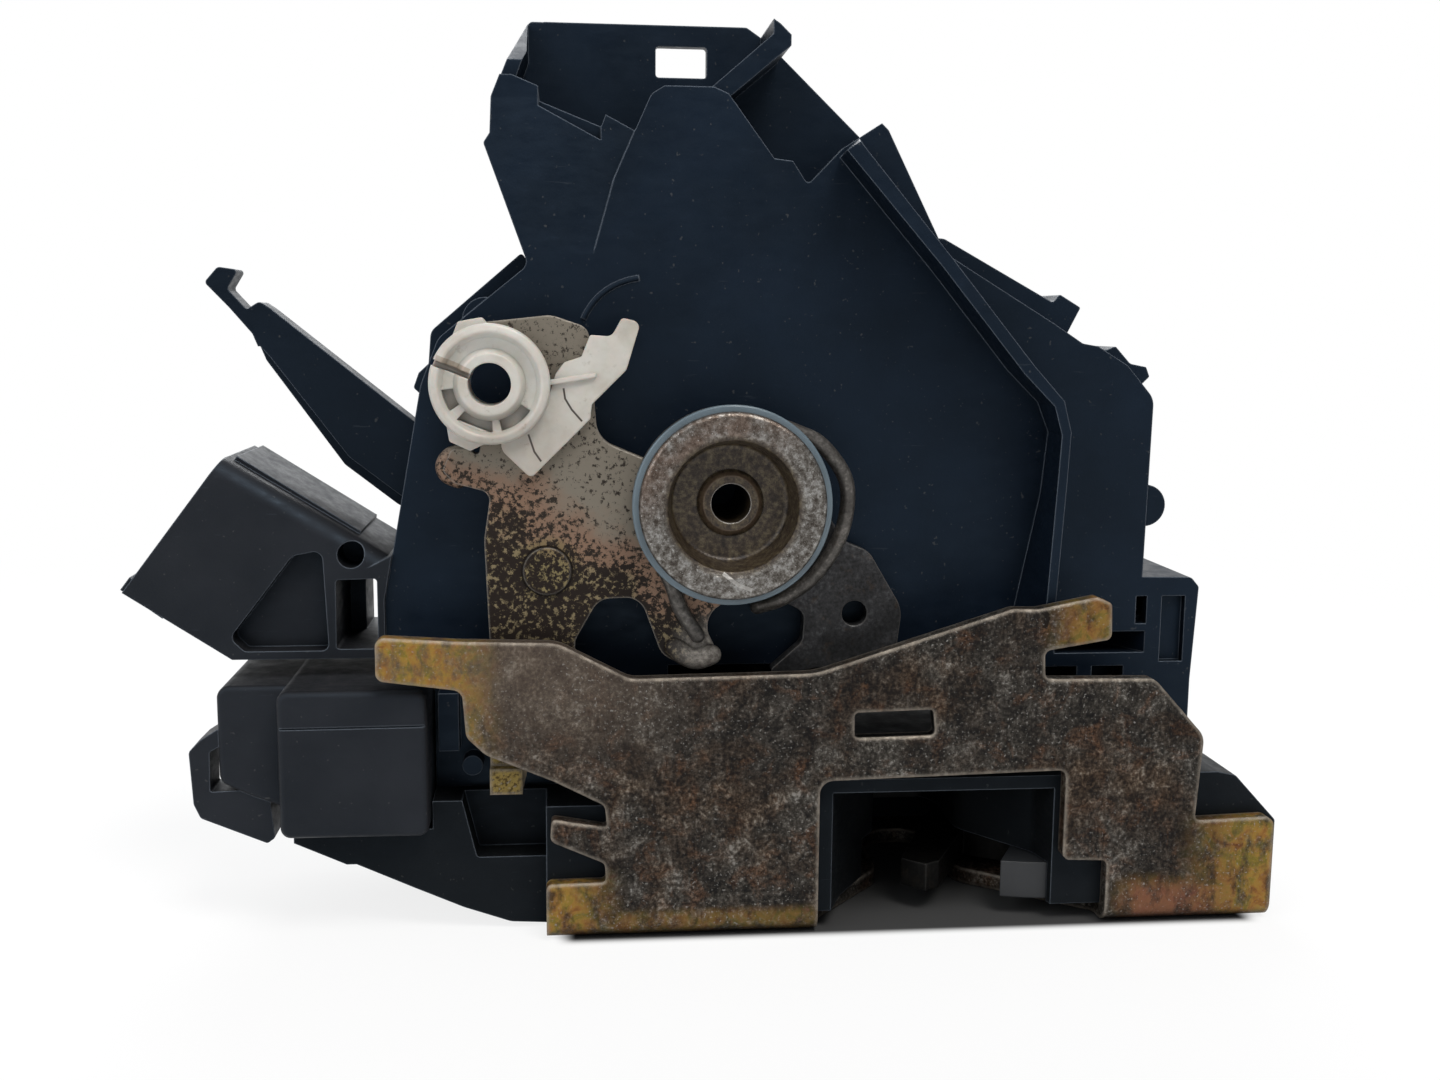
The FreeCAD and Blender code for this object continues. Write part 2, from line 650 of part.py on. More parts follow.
def rod_clip():
    """Plastic clip: dished bush in the lever and an arm that grips the rod."""
    seat = INSIDE_FRONT
    back = seat + LEVER
    dish = turned_ring([
        (BUSH_BORE_R, seat - 3.6), (BUSH_BORE_R + 1.3, seat - 3.6, 0.4), (BUSH_BORE_R + 2.0, seat - 2.3),
        (BUSH_R - 1.9, seat - 2.6), (BUSH_R - 1.2, seat - 4.0, 0.4), (BUSH_R, seat - 3.6, 0.6),
        (BUSH_R, seat - 1.6, 0.8), (BUSH_R - 0.8, seat - RUN), (BUSH_BORE_R, seat - RUN),
    ], BUSH_X, BUSH_Z)
    for first, last in ((187, 214), (227, 273), (284, 327)):
        dish = dish.cut(ring_sector(BUSH_BORE_R + 2.1, BUSH_R - 1.7, first, last, seat - 4, seat - 1.2))
    sleeve = rod_y(BUSH_X, BUSH_Z, BUSH_SEAT_R, seat - RUN, back + 0.1)
    barb = rod_y(BUSH_X, BUSH_Z, BUSH_SEAT_R + 0.7, back + 0.1, back + 1.0)
    lugs = [front_slab(points, seat - 2.6, seat - RUN) for points in (
        [(-71.6, 75.6), (-71.0, 71.9, 0.5), (-68.2, 70.6, 0.5), (-64.0, 72.6)],
        [(-71.0, 84.8), (-69.6, 88.3, 0.5), (-66.4, 88.9, 0.5), (-64.6, 86.8)],
    )]
    blade = front_slab([
        (-65.0, 71.6, 2), (-59.9, 66.7, 0.8), (-51.6, 75.0, 0.6), (-51.4, 77.0, 0.6),
        (-46.6, 81.8, 1), (-44.6, 88.4, 1), (-47.2, 89.0, 0.6), (-48.6, 86.4, 1.2),
        (-51.6, 86.6, 0.4), (-52.8, 83.6, 0.4), (-55.2, 82.8, 0.5), (-56.4, 81.2, 0.5), (-57.5, 77.5, 1),
    ], seat - 1.7, seat - RUN)
    rib = front_slab([
        (-57.6, 79.6), (-57.4, 80.4), (-50.8, 81.4), (-50.8, 80.8),
    ], seat - 2.3, seat - 1.7)
    clip = fused([dish, sleeve, barb, blade, rib] + lugs)
    clip = clip.cut(rod_y(BUSH_X, BUSH_Z, BUSH_BORE_R, seat - 6, back + 3))
    notch = front_slab([
        (BUSH_X - 2.0, BUSH_Z + 0.4), (BUSH_X - 2.0, BUSH_Z + 1.2), (BUSH_X - 9.0, BUSH_Z + 4.0),
        (BUSH_X - 9.0, BUSH_Z + 3.0),
    ], seat - 5, seat - 1.4)
    return clip.cut(notch)


def outside_release_lever():
    """Stamped outside lever on the same pivot, with its bent tongue."""
    tongue = OUTSIDE_TONGUE_X + PLATE
    plate = front_slab([
        (-40.0, 55.0, 3), (-40.0, 71.0, 3), (-24.0, 71.0, 3), (-14.0, 56.5, 2),
        (-10.6, 55.2, 3), (-5.4, 46.5, 5), (-6.4, 38.0, 3), (-12.4, 36.8, 1),
        (tongue, OUTSIDE_TONGUE_LOW), (OUTSIDE_TONGUE_X, OUTSIDE_TONGUE_LOW),
        (OUTSIDE_TONGUE_X, 38.0, 1), (-23.0, 36.6, 0.8),
        (-25.4, 37.2, 0.5), (-20.3, 41.7, 2), (-20.1, 46.2, 2), (-27.0, 49.6, 3),
    ], OUTSIDE_FRONT, OUTSIDE_FRONT + LEVER)
    hub = rod_y(PIVOT_X, PIVOT_Z, HUB_R, OUTSIDE_FRONT, OUTSIDE_FRONT + LEVER)
    finger = block(
        OUTSIDE_TONGUE_X, tongue, OUTSIDE_FRONT, TONGUE_BACK, OUTSIDE_TONGUE_LOW, LUG_TOP - 0.1
    )
    lever = fused([plate, hub, finger])
    back = OUTSIDE_FRONT + LEVER + 1
    lever = lever.cut(rod_y(PIVOT_X, PIVOT_Z, RIVET_R + RUN, 0, back))
    return lever.cut(rod_y(-12.6, 45.9, 1.9, 0, back))


def pivot_rivet():
    """Hollow rivet that carries both levers."""
    head = turned_ring([
        (RIVET_HOLE_R, CUP_FLOOR - 1.2), (RIVET_HEAD_R - 1.0, CUP_FLOOR - 1.2, 0.3),
        (RIVET_HEAD_R, CUP_FLOOR, 0.1), (RIVET_HOLE_R, CUP_FLOOR),
    ], PIVOT_X, PIVOT_Z)
    shank = tube_y(PIVOT_X, PIVOT_Z, RIVET_R, RIVET_HOLE_R, CUP_FLOOR, HOUSE_FRONT + 9.0)
    return fused([head, shank])


def cup_washer():
    """Cupped washer that holds the spring and the levers."""
    wall = CUP_WALL
    return turned_ring([
        (RIVET_R, CUP_FLOOR), (CUP_R - 0.8, CUP_FLOOR, 0.8), (CUP_R, CUP_FRONT + 0.4, 0.4),
        (CUP_R + 1.0, CUP_FRONT), (WASHER_R, CUP_FRONT, 0.8), (WASHER_R, CUP_FRONT + 1.4),
        (CUP_R + wall, CUP_FRONT + 1.4), (CUP_R + wall, CUP_FLOOR + wall, 0.8),
        (RIVET_R, CUP_FLOOR + wall),
    ], PIVOT_X, PIVOT_Z)


def spring_spool():
    """Plastic spool between the washer and the levers."""
    inner = CUP_R + CUP_WALL + RUN
    floor = CUP_FLOOR + CUP_WALL
    lever = INSIDE_FRONT - GAP
    return turned_ring([
        (inner, CUP_FRONT + 1.4), (SPOOL_R, CUP_FRONT + 1.4, 0.3), (SPOOL_R, CUP_FRONT + 2.4, 0.3),
        (inner + 0.9, CUP_FRONT + 2.4), (inner + 0.9, lever), (RIVET_R, lever), (RIVET_R, floor),
        (inner, floor),
    ], PIVOT_X, PIVOT_Z)


def lever_spacer():
    """Plastic washer between the two levers and the housing boss."""
    between = tube_y(
        PIVOT_X, PIVOT_Z, HUB_R - 3.0, RIVET_R, INSIDE_FRONT + LEVER + 0.2, OUTSIDE_FRONT - 0.2
    )
    return between


def return_spring():
    """Torsion spring: one leg on the inside lever, one on the outside lever."""
    radius = CUP_R + CUP_WALL + RUN + 0.9 + SPRING_WIRE_R + GAP
    near = CUP_FRONT + 2.4 + SPRING_WIRE_R + 0.1
    far = INSIDE_FRONT - SPRING_WIRE_R - 0.1
    points = []
    x, z = polar(17.6, -72.0)
    points.append((PIVOT_X + x, OUTSIDE_FRONT + 1.6, PIVOT_Z + z))
    for bearing, reach, depth in ((-63, 18.2, 8.0), (-45, 18.7, 7.6), (-20, 18.8, 6.6), (5, 18.6, 5.2)):
        x, z = polar(reach, bearing)
        points.append((PIVOT_X + x, depth - 0.3, PIVOT_Z + z))
    x, z = polar(15.6, 32.0)
    points.append((PIVOT_X + x, 2.6, PIVOT_Z + z))
    for step in range(15):
        x, z = polar(radius, 62 + 510.0 * step / 14)
        points.append((PIVOT_X + x, near + (far - near) * step / 14, PIVOT_Z + z))
    points.append((-40.0, far, 49.6))
    points.append((-37.2, far, 43.6))
    return wire_along(points, SPRING_WIRE_R)


def house_outline():
    """Front view of the housing's body."""
    return left_edge() + [
        (-66.5, 113.5, 0.6), (-65.6, 114.9), (-65.4, 120.0, 1), (-62.6, 126.8), (-60.2, 133.1, 1),
        (-27.2, 133.1, 1), (-24.0, 131.0, 1), (-8.3, 116.2, 1), (0.6, 98.8, 3), (17.5, 88.7, 3),
    ] + right_edge() + [
        (41.4, BACK_TOP), (26.0, BACK_TOP), (26.0, COVER_LOW), (14.5, COVER_LOW), (14.5, LEVER_ROOF),
        (HOUSE_STEP, LEVER_ROOF), (HOUSE_STEP, CASE_LOW_TOP), (-74.6, CASE_LOW_TOP), (-74.6, HOUSE_FOOT),
    ]


def left_edge():
    """Left edge that the housing and its cover share, from the foot up."""
    return [
        (HOUSE_LEFT, HOUSE_FOOT), (HOUSE_LEFT, 48.0), (HOUSE_LEFT + 5.7, 79.2, 6),
        (HOUSE_LEFT + 8.3, 85.9, 3), (-60.3, 96.4, 1.5),
    ]


def right_edge():
    """Right edge that the housing and its cover share, from the top down."""
    return [
        (22.0, 85.8, 1), (24.4, 85.4, 1), (29.1, 82.6, 2), (33.4, 77.6, 3), (33.0, 50.3),
        (40.8, 50.2, 1), (42.1, 48.7, 0.8), (41.4, 34.1),
    ]


def shrunk(points, wall, y_low, y_high):
    """Slab of an outline drawn in by a wall."""
    face = outline(points, on_front).makeOffset2D(-wall)
    face.translate(Y_AXIS * y_low)
    return face.extrude(Y_AXIS * (y_high - y_low))


def open_top():
    """Room above the front wall's stepped edge."""
    return front_slab([
        (-75.0, 140.0), (-75.0, 123.1), (-62.4, 123.1), (-58.7, 121.6), (-58.5, 119.6),
        (-49.7, 116.2), (-49.1, 117.8), (-44.9, 115.6), (-42.7, 120.5, 1.5), (-40.8, 121.7, 1),
        (-33.7, 121.7), (-31.6, 120.8), (-24.9, 111.9), (-22.2, 111.6), (-20.0, 108.3, 0.6), (-15.0, 113.5),
        (-8.0, 118.0), (2.0, 118.0), (2.0, 140.0),
    ], HOUSE_FRONT - 1, HOUSE_FRONT + WALL)


def left_panel():
    """Room in front of the left panel, which leans back toward the top."""
    lean = side_slab([
        (HOUSE_FRONT - 1, 98.0), (HOUSE_FRONT, 98.0), (HOUSE_FRONT + PANEL_DROP, 120.0),
        (HOUSE_FRONT + PANEL_DROP, 135.0), (HOUSE_FRONT - 1, 135.0),
    ], -80, -38)
    region = front_slab([
        (-80.0, 98.0), (-51.0, 98.0), (-48.0, 108.7, 6), (-44.2, 117.3), (-42.7, 120.5), (-42.7, 135.0),
        (-80.0, 135.0),
    ], HOUSE_FRONT - 1, HOUSE_FRONT + PANEL_DROP)
    sunk = front_slab([
        (-58.7, 118.9), (-49.8, 114.2), (-49.8, 119.0), (-58.7, 122.0),
    ], HOUSE_FRONT, HOUSE_FRONT + PANEL_DROP + 0.9)
    above = open_top().common(block(-80, -42.8, 0, 60, 100, 150))
    above.translate(Y_AXIS * (PANEL_DROP + 0.1))
    return fused([lean.common(region), sunk, above])


def top_pockets():
    """The two pockets that open upwards."""
    left = front_slab([
        (-57.0, POCKET_FLOOR), (-64.5, 113.6, 2), (-62.9, 120.2), (-60.4, 127.0), (-60.4, 140.0),
        (-25.0, 140.0), (-25.0, 129.6), (-38.0, 118.4), (-38.0, POCKET_FLOOR),
    ], HOUSE_FRONT + PANEL_DROP + WALL, HOUSE_BACK - WALL)
    right = front_slab([
        (-35.6, POCKET_FLOOR), (-35.6, 117.0), (-22.4, 128.0), (-22.4, 140.0), (2.0, 140.0),
        (2.0, 122.0), (-10.6, 115.0), (-2.6, POCKET_FLOOR),
    ], HOUSE_FRONT + WALL, HOUSE_BACK - WALL)
    beside = left.common(block(-42.8, 0, 0, 60, 0, 150))
    beside.translate(Y_AXIS * -PANEL_DROP)
    return left.fuse(beside), right


def right_rim():
    """Proud wall on the right that shields the levers, wider toward its foot."""
    crest = [
        (-16.2, 112.2), (-2.0, 96.2), (10.2, 81.5), (14.8, 76.9), (16.0, 72.8), (15.7, 66.4),
        (14.5, 44.0), (15.9, 44.0), (17.1, 66.4), (17.4, 73.2), (16.2, 77.7), (11.6, 82.7),
        (-0.6, 97.4), (-14.3, 113.4),
    ]
    foot = [
        (-15.3, 112.2), (-1.2, 96.1), (10.6, 81.8), (15.4, 77.1), (17.2, 72.6), (16.4, 63.5),
        (12.6, 44.0), (17.4, 44.0), (18.4, 66.4), (18.8, 73.4), (17.2, 78.3), (12.0, 83.2),
        (0.4, 97.6), (-12.6, 114.9),
    ]
    near = Part.makePolygon([FreeCAD.Vector(x, RIM_FRONT, z) for x, z in crest + crest[:1]])
    far = Part.makePolygon([FreeCAD.Vector(x, HOUSE_FRONT, z) for x, z in foot + foot[:1]])
    return Part.makeLoft([near, far], True, True)


def rear_shoulder():
    """Rear part of the carrier that stands above the plateau, with two nubs."""
    return front_slab([
        (-1.0, 94.0), (-0.6, 101.6), (2.6, 101.4, 1.5), (20.1, 91.9, 0.6), (21.1, 93.2, 0.3),
        (24.5, 91.2, 0.3), (22.4, 87.0), (27.0, 84.4), (29.2, 84.8), (30.4, 85.3, 0.4),
        (32.9, 82.6, 1), (35.5, 82.1, 0.3), (36.1, 80.6, 0.3), (33.0, 77.5), (29.0, 76.0),
    ], SHOULDER_FRONT, HOUSE_BACK)


def left_strip():
    """Rear lip along the upper left edge."""
    return front_slab([
        (-76.2, 77.0), (-77.7, 78.4, 0.5), (-76.9, 80.6, 0.5), (-75.4, 82.0), (-75.0, 86.8, 2),
        (-61.4, 98.5, 0.5), (-60.0, 96.2), (-70.0, 84.0),
    ], SHOULDER_FRONT, HOUSE_BACK)


def shelf_block():
    """Solid corner behind the flange's notch that carries the small shelf."""
    return block(18.5, 36.0, HOUSE_FRONT, 26.0, COVER_LOW, SHELF_ROOF + WALL)


def shelf_rooms():
    """Shelf and its two small pockets, and the slots of the right block."""
    shelf = plan_slab([
        (18.5, HOUSE_FRONT - 3), (34.4, HOUSE_FRONT - 3), (33.8, HOUSE_FRONT), (30.0, 20.0, 1),
        (27.5, 23.5, 1), (23.5, 23.5, 1), (19.5, HOUSE_FRONT),
    ], SHELF_TOP, SHELF_ROOF)
    rooms = [shelf]
    for x in (18.2, 25.6):
        rooms.append(block(x, x + 5.0, HOUSE_FRONT - 1, HOUSE_FRONT + 4, 33.6, 36.4))
    rooms.append(block(32.2, 33.9, HOUSE_FRONT - 1, HOUSE_FRONT + WALL + 1, 43.0, 47.3))
    rooms.append(block(36.3, 40.0, HOUSE_FRONT - 1, HOUSE_FRONT + WALL - 0.6, 37.0, 47.3))
    return rooms


def screw_bosses(y_low, y_high):
    """Round bosses for the cover's screws."""
    return [rod_y(x, z, SCREW_R + 1.8, y_low, y_high) for x, z in SCREWS]


def front_housing():
    """Moulded carrier with pockets at the top and the gear room behind."""
    body = front_slab(house_outline(), HOUSE_FRONT, HOUSE_BACK)
    room = shrunk(house_outline(), WALL, HOUSE_FRONT + WALL, HOUSE_BACK + 1)
    room = room.common(block(-120, 60, 0, 60, 0, POCKET_FLOOR - WALL))
    body = body.cut(room)
    left, right = top_pockets()
    body = body.cut(left).cut(right)
    body = body.cut(open_top()).cut(left_panel())
    slope = side_slab([(12, 122.2), (31, 133.6), (31, 140), (12, 140)], -70, -58)
    body = body.cut(slope)
    window = front_slab([
        (-41.1, 125.4, 0.5), (-33.3, 125.4, 0.5), (-33.3, 130.0, 0.5), (-41.1, 130.0, 0.5),
    ], HOUSE_BACK - WALL - 2, HOUSE_BACK + 1)
    body = body.cut(window)
    boss = rod_y(PIVOT_X, PIVOT_Z, 10.0, OUTSIDE_FRONT + LEVER + GAP, HOUSE_BACK - 8)
    bump = rod_y(33.0, 61.3, 3.2, HOUSE_FRONT + 0.5, HOUSE_BACK)
    axle_boss = rod_y(WHEEL_X, WHEEL_Z, 4.0, HOUSE_FRONT + WALL, WHEEL_FRONT - GAP)
    pin_boss = rod_y(LOCK_X, LOCK_Z, 5.0, HOUSE_FRONT + WALL, lock_front() - GAP)
    bead = wire_along([(x, HOUSE_FRONT, z) for x, z in ((-52.4, 88.8), (-50.3, 91.9), (-44.4, 94.7))], 0.4)
    rib = block(-73.9, -70.9, 10.0, HOUSE_FRONT + 1, 25.7, 34.4)
    peg = rod_y(-69.0, 23.5, 1.5, 9.8, HOUSE_FRONT + 1)
    body = fused([
        body, right_rim(), rear_shoulder(), left_strip(), shelf_block(), boss, bump, axle_boss, pin_boss,
        bead, rib, peg,
    ] + screw_bosses(HOUSE_FRONT + 1, HOUSE_BACK))
    for space in shelf_rooms():
        body = body.cut(space)
    for x, z in SCREWS:
        body = body.cut(rod_y(x, z, SCREW_R, HOUSE_BACK - 9, HOUSE_BACK + 1))
    body = body.cut(rod_y(PIVOT_X, PIVOT_Z, RIVET_R, 0, HOUSE_FRONT + 9.0))
    body = body.cut(rod_y(WHEEL_X, WHEEL_Z, AXLE_R, HOUSE_FRONT + 1, HOUSE_BACK))
    body = body.cut(rod_y(LOCK_X, LOCK_Z, LOCK_PIN_R, HOUSE_FRONT + 1, HOUSE_BACK))
    body = body.cut(rod_x(MOTOR_Y, MOTOR_Z, 5.0, -80, -60))
    body = body.cut(rod_x(MOTOR_Y, MOTOR_Z, SHAFT_R + RUN, -60, SHAFT_TIP + 0.3))
    arm_gate = block(-84, -72, lock_front() - 0.8, HOUSE_BACK + 1, 58.0, 86.0)
    return body.cut(arm_gate).removeSplitter()


def lock_front():
    """Depth of the lock lever's front face."""
    return PINION_FRONT + 0.4


def cover_outline():
    """Front view of the rear cover."""
    return [(-104.9, 21.4, 2), (-104.9, 36.8, 1), (HOUSE_LEFT, 36.8)] + left_edge() + [
        (-58.0, 99.0), (0.4, 99.0, 3), (17.5, 88.7, 3),
    ] + right_edge() + [
        (41.4, COVER_LOW), (HOUSE_STEP, COVER_LOW), (HOUSE_STEP, CASE_LOW_TOP),
        (-74.6, CASE_LOW_TOP), (-74.6, 15.4), (-96.0, 15.4),
    ]


def cover_ribs():
    """Ribs that stiffen the cover's back, spread from the gear dome."""
    ribs = []
    for bearing, reach in ((12, 92.0), (30, 74.0), (58, 50.0)):
        spine = front_slab([
            (0, -0.7), (reach, -0.7), (reach, 0.7), (0, 0.7),
        ], COVER_BACK - 1.0, COVER_BACK + 1.2)
        spine.rotate(FreeCAD.Vector(0, 0, 0), Y_AXIS, -bearing)
        spine.translate(FreeCAD.Vector(WHEEL_X, 0, WHEEL_Z))
        ribs.append(spine.common(front_slab(cover_outline(), 0, 60)))
    ring = tube_y(WHEEL_X, WHEEL_Z, 46.0, 44.6, COVER_BACK - 1.0, COVER_BACK + 1.2)
    ribs.append(ring.common(front_slab(cover_outline(), 0, 60)))
    return ribs


def rear_cover():
    """Moulded cover with a raised gear dome, ribs and screw bosses."""
    body = front_slab(cover_outline(), HOUSE_BACK, COVER_BACK)
    room = shrunk(cover_outline(), WALL, HOUSE_BACK - 1, COVER_BACK - WALL)
    motor_side = block(-110, MOTOR_BOX[1], HOUSE_BACK - 1, 36.0, 0, MOTOR_BOX[3] + 0.1)
    body = body.cut(room).cut(motor_side)
    gate = block(-84, -72, HOUSE_BACK - 1, lock_front() + LOCK_THICK + 0.8, 58.0, 86.0)
    body = body.cut(gate)
    dome = rod_y(WHEEL_X, WHEEL_Z, 17.5, COVER_BACK - 1.0, COVER_BACK + 2.6)
    dome = dome.fuse(tube_y(WHEEL_X, WHEEL_Z, 5.0, 2.4, COVER_BACK + 1.0, COVER_BACK + 3.4))
    keep = front_slab(cover_outline(), 0, 60)
    tower = rod_y(WHEEL_X, WHEEL_Z, 3.4, PINION_FRONT + WHEEL_WIDE + GAP, COVER_BACK - WALL)
    post = rod_y(LOCK_X, LOCK_Z, 4.6, lock_front() + LOCK_THICK + GAP, COVER_BACK - WALL)
    body = fused(
        [body, dome.common(keep), tower, post] + cover_ribs() + screw_bosses(HOUSE_BACK, COVER_BACK + 0.8)
    )
    for x, z in SCREWS:
        body = body.cut(rod_y(x, z, SCREW_R, HOUSE_BACK - 1, COVER_BACK + 2))
        body = body.cut(rod_y(x, z, SCREW_HEAD_R + GAP, COVER_BACK + 0.8, COVER_BACK + 5))
    body = body.cut(rod_y(WHEEL_X, WHEEL_Z, AXLE_R, 20, COVER_BACK - WALL))
    return body.cut(rod_y(LOCK_X, LOCK_Z, LOCK_PIN_R, 20, COVER_BACK - WALL))


def cover_screws():
    """Screws that hold the cover on the housing."""
    screws = []
    for x, z in SCREWS:
        head = rod_y(x, z, SCREW_HEAD_R, COVER_BACK + 0.8, COVER_BACK + 2.6)
        shank = rod_y(x, z, SCREW_R, HOUSE_BACK - 8, COVER_BACK + 0.8)
        cross = block(x - 1.4, x + 1.4, 0, 1.2, z - 0.35, z + 0.35)
        cross = cross.fuse(block(x - 0.35, x + 0.35, 0, 1.2, z - 1.4, z + 1.4))
        cross.translate(Y_AXIS * (COVER_BACK + 1.6))
        screws.append(fused([head, shank]).cut(cross))
    return Part.makeCompound(screws)


def door_switch():
    """Small switch on the housing's floor, with its button and three legs."""
    x, y, z = SWITCH_X, HOUSE_FRONT + WALL, LEVER_ROOF + WALL
    body = block(x, x + 12.8, y + 1.0, y + 6.8, z, z + 6.4)
    button = block(x + 3.0, x + 5.2, y + 2.6, y + 5.0, z + 6.4, z + 7.4)
    legs = [block(x + step, x + step + 1.0, y, y + 1.0, z + 2.0, z + 4.0) for step in (1.4, 5.9, 10.4)]
    return fused([body, button] + legs)


def lead_strips():
    """Stamped strips on the housing's wall that join the plug to the switch."""
    strips = []
    for lane in range(3):
        high = 77.0 + 2.4 * lane
        low = LEVER_ROOF + WALL + 4.1
        right = SWITCH_X + 2.5 + 4.5 * lane
        strips.append(front_slab([
            (-72.0, high), (right, high), (right, low), (right - 1.2, low),
            (right - 1.2, high - 1.2), (-72.0, high - 1.2),
        ], HOUSE_FRONT + WALL, HOUSE_FRONT + WALL + 0.6))
    return Part.makeCompound(strips)


def wheel_axle():
    """Axle of the worm wheel."""
    return rod_y(WHEEL_X, WHEEL_Z, AXLE_R, HOUSE_FRONT + 1, COVER_BACK - WALL)


def lock_pin():
    """Axle of the lock lever."""
    return rod_y(LOCK_X, LOCK_Z, LOCK_PIN_R, HOUSE_FRONT + 1, COVER_BACK - WALL)


def gear_face(teeth, module, thin, first):
    """Flat gear with straight-flanked teeth, one tooth centred on a bearing."""
    pitch_r = module * teeth / 2
    root = pitch_r - 1.2 * module
    tip = pitch_r + 0.9 * module
    half = 90.0 / teeth - math.degrees(thin / 2 / pitch_r)
    points = []
    for tooth in range(teeth):
        middle = first + 360.0 * tooth / teeth
        points.append(polar(root, middle - half - 360.0 * 0.105 / teeth))
        points.append(polar(pitch_r, middle - half))
        points.append(polar(tip, middle - half + 360.0 * 0.11 / teeth))
        points.append(polar(tip, middle + half - 360.0 * 0.11 / teeth))
        points.append(polar(pitch_r, middle + half))
        points.append(polar(root, middle + half + 360.0 * 0.105 / teeth))
    return points


def gear_wire(points, y):
    """Closed wire of flat points at one depth."""
    spots = [FreeCAD.Vector(a, y, b) for a, b in points]
    return Part.makePolygon(spots + [spots[0]])


def worm_wheel():
    """Worm wheel with slanted teeth and the pinion behind it."""
    lead = MODULE / 2 / WORM_R
    slant = math.degrees(lead * WHEEL_WIDE / (MODULE * WHEEL_TEETH / 2))
    gap_down = -90.0 + 180.0 / WHEEL_TEETH
    near = gear_face(WHEEL_TEETH, MODULE, 0.5, gap_down + slant / 2)
    far = gear_face(WHEEL_TEETH, MODULE, 0.5, gap_down - slant / 2)
    low = WHEEL_FRONT
    high = WHEEL_FRONT + WHEEL_WIDE
    wheel = Part.makeLoft([gear_wire(near, low), gear_wire(far, high)], True, True)
    throat = Part.makeTorus(
        WORM_RADIUS_SUM, WORM_R - 1.0 + 0.05, FreeCAD.Vector(0, MOTOR_Y, 0), Y_AXIS
    )
    wheel = wheel.cut(throat)
    web = tube_y(0, 0, 11.0, 5.6, low - 1, low + 1.6)
    wheel = wheel.cut(web)
    pinion_face = gear_face(PINION_TEETH, MODULE, TOOTH_THIN, SECTOR_BEARING - 180)
    pinion = Part.Face(gear_wire(pinion_face, high)).extrude(Y_AXIS * WHEEL_WIDE)
    gear = wheel.fuse(pinion)
    gear = gear.cut(rod_y(0, 0, AXLE_R + RUN, low - 2, high + WHEEL_WIDE + 2))
    gear.translate(FreeCAD.Vector(WHEEL_X, 0, WHEEL_Z))
    return gear


def worm():
    """Single-start worm on the motor's shaft."""
    pitch = math.pi * MODULE
    turns = 4
    root = WORM_R - 1.15 * MODULE
    length = pitch * turns
    helix = Part.makeHelix(pitch, length, root)
    profile = Part.makePolygon([
        FreeCAD.Vector(root - 0.3, 0, -0.95), FreeCAD.Vector(WORM_R + 0.9, 0, -0.32),
        FreeCAD.Vector(WORM_R + 0.9, 0, 0.32), FreeCAD.Vector(root - 0.3, 0, 0.95),
        FreeCAD.Vector(root - 0.3, 0, -0.95),
    ])
    thread = Part.Wire(helix).makePipeShell([profile], True, True)
    thread.translate(Z_AXIS * (-length / 2))
    core = Part.makeCylinder(root, length + 3.0, FreeCAD.Vector(0, 0, -length / 2 - 1.5))
    body = core.fuse(thread)
    body.rotate(FreeCAD.Vector(0, 0, 0), Y_AXIS, 90)
    body.rotate(FreeCAD.Vector(0, 0, 0), X_AXIS, 180)
    body.translate(FreeCAD.Vector(WHEEL_X, MOTOR_Y, MOTOR_Z))
    return body


def motor_shaft():
    """Shaft that turns the worm, from the motor's tail to its tip bearing."""
    return rod_x(MOTOR_Y, MOTOR_Z, SHAFT_R, MOTOR_LEFT + 1.0, SHAFT_TIP)


def motor_worm():
    """Worm fixed on its shaft."""
    return fused([motor_shaft(), worm()])


def motor_can():
    """Steel can of the motor, round with two flats."""
    can = rod_x(MOTOR_Y, MOTOR_Z, MOTOR_R, MOTOR_LEFT + 2.5, MOTOR_RIGHT)
    flats = block(-120, -60, 0, 60, MOTOR_Z - MOTOR_FLAT, MOTOR_Z + MOTOR_FLAT)
    collar = rod_x(MOTOR_Y, MOTOR_Z, 3.0, MOTOR_RIGHT, MOTOR_RIGHT + 1.4)
    can = fused([can.common(flats), collar])
    return can.cut(rod_x(MOTOR_Y, MOTOR_Z, SHAFT_R + RUN, -120, -60))


def motor_end_cap():
    """Plastic end cap of the motor with its two brush terminals."""
    cap = rod_x(MOTOR_Y, MOTOR_Z, MOTOR_R, MOTOR_LEFT, MOTOR_LEFT + 2.5)
    flats = block(-120, -60, 0, 60, MOTOR_Z - MOTOR_FLAT, MOTOR_Z + MOTOR_FLAT)
    cap = cap.common(flats)
    return cap.cut(rod_x(MOTOR_Y, MOTOR_Z, SHAFT_R + RUN, -120, -60))


def softened(shape, depth, radius):
    """Round the rim of a box's front face."""
    rim = []
    for edge in shape.Edges:
        if abs(edge.BoundBox.YMin - depth) < 1e-6 and abs(edge.BoundBox.YMax - depth) < 1e-6:
            rim.append(edge)
    return shape.makeFillet(radius, rim)


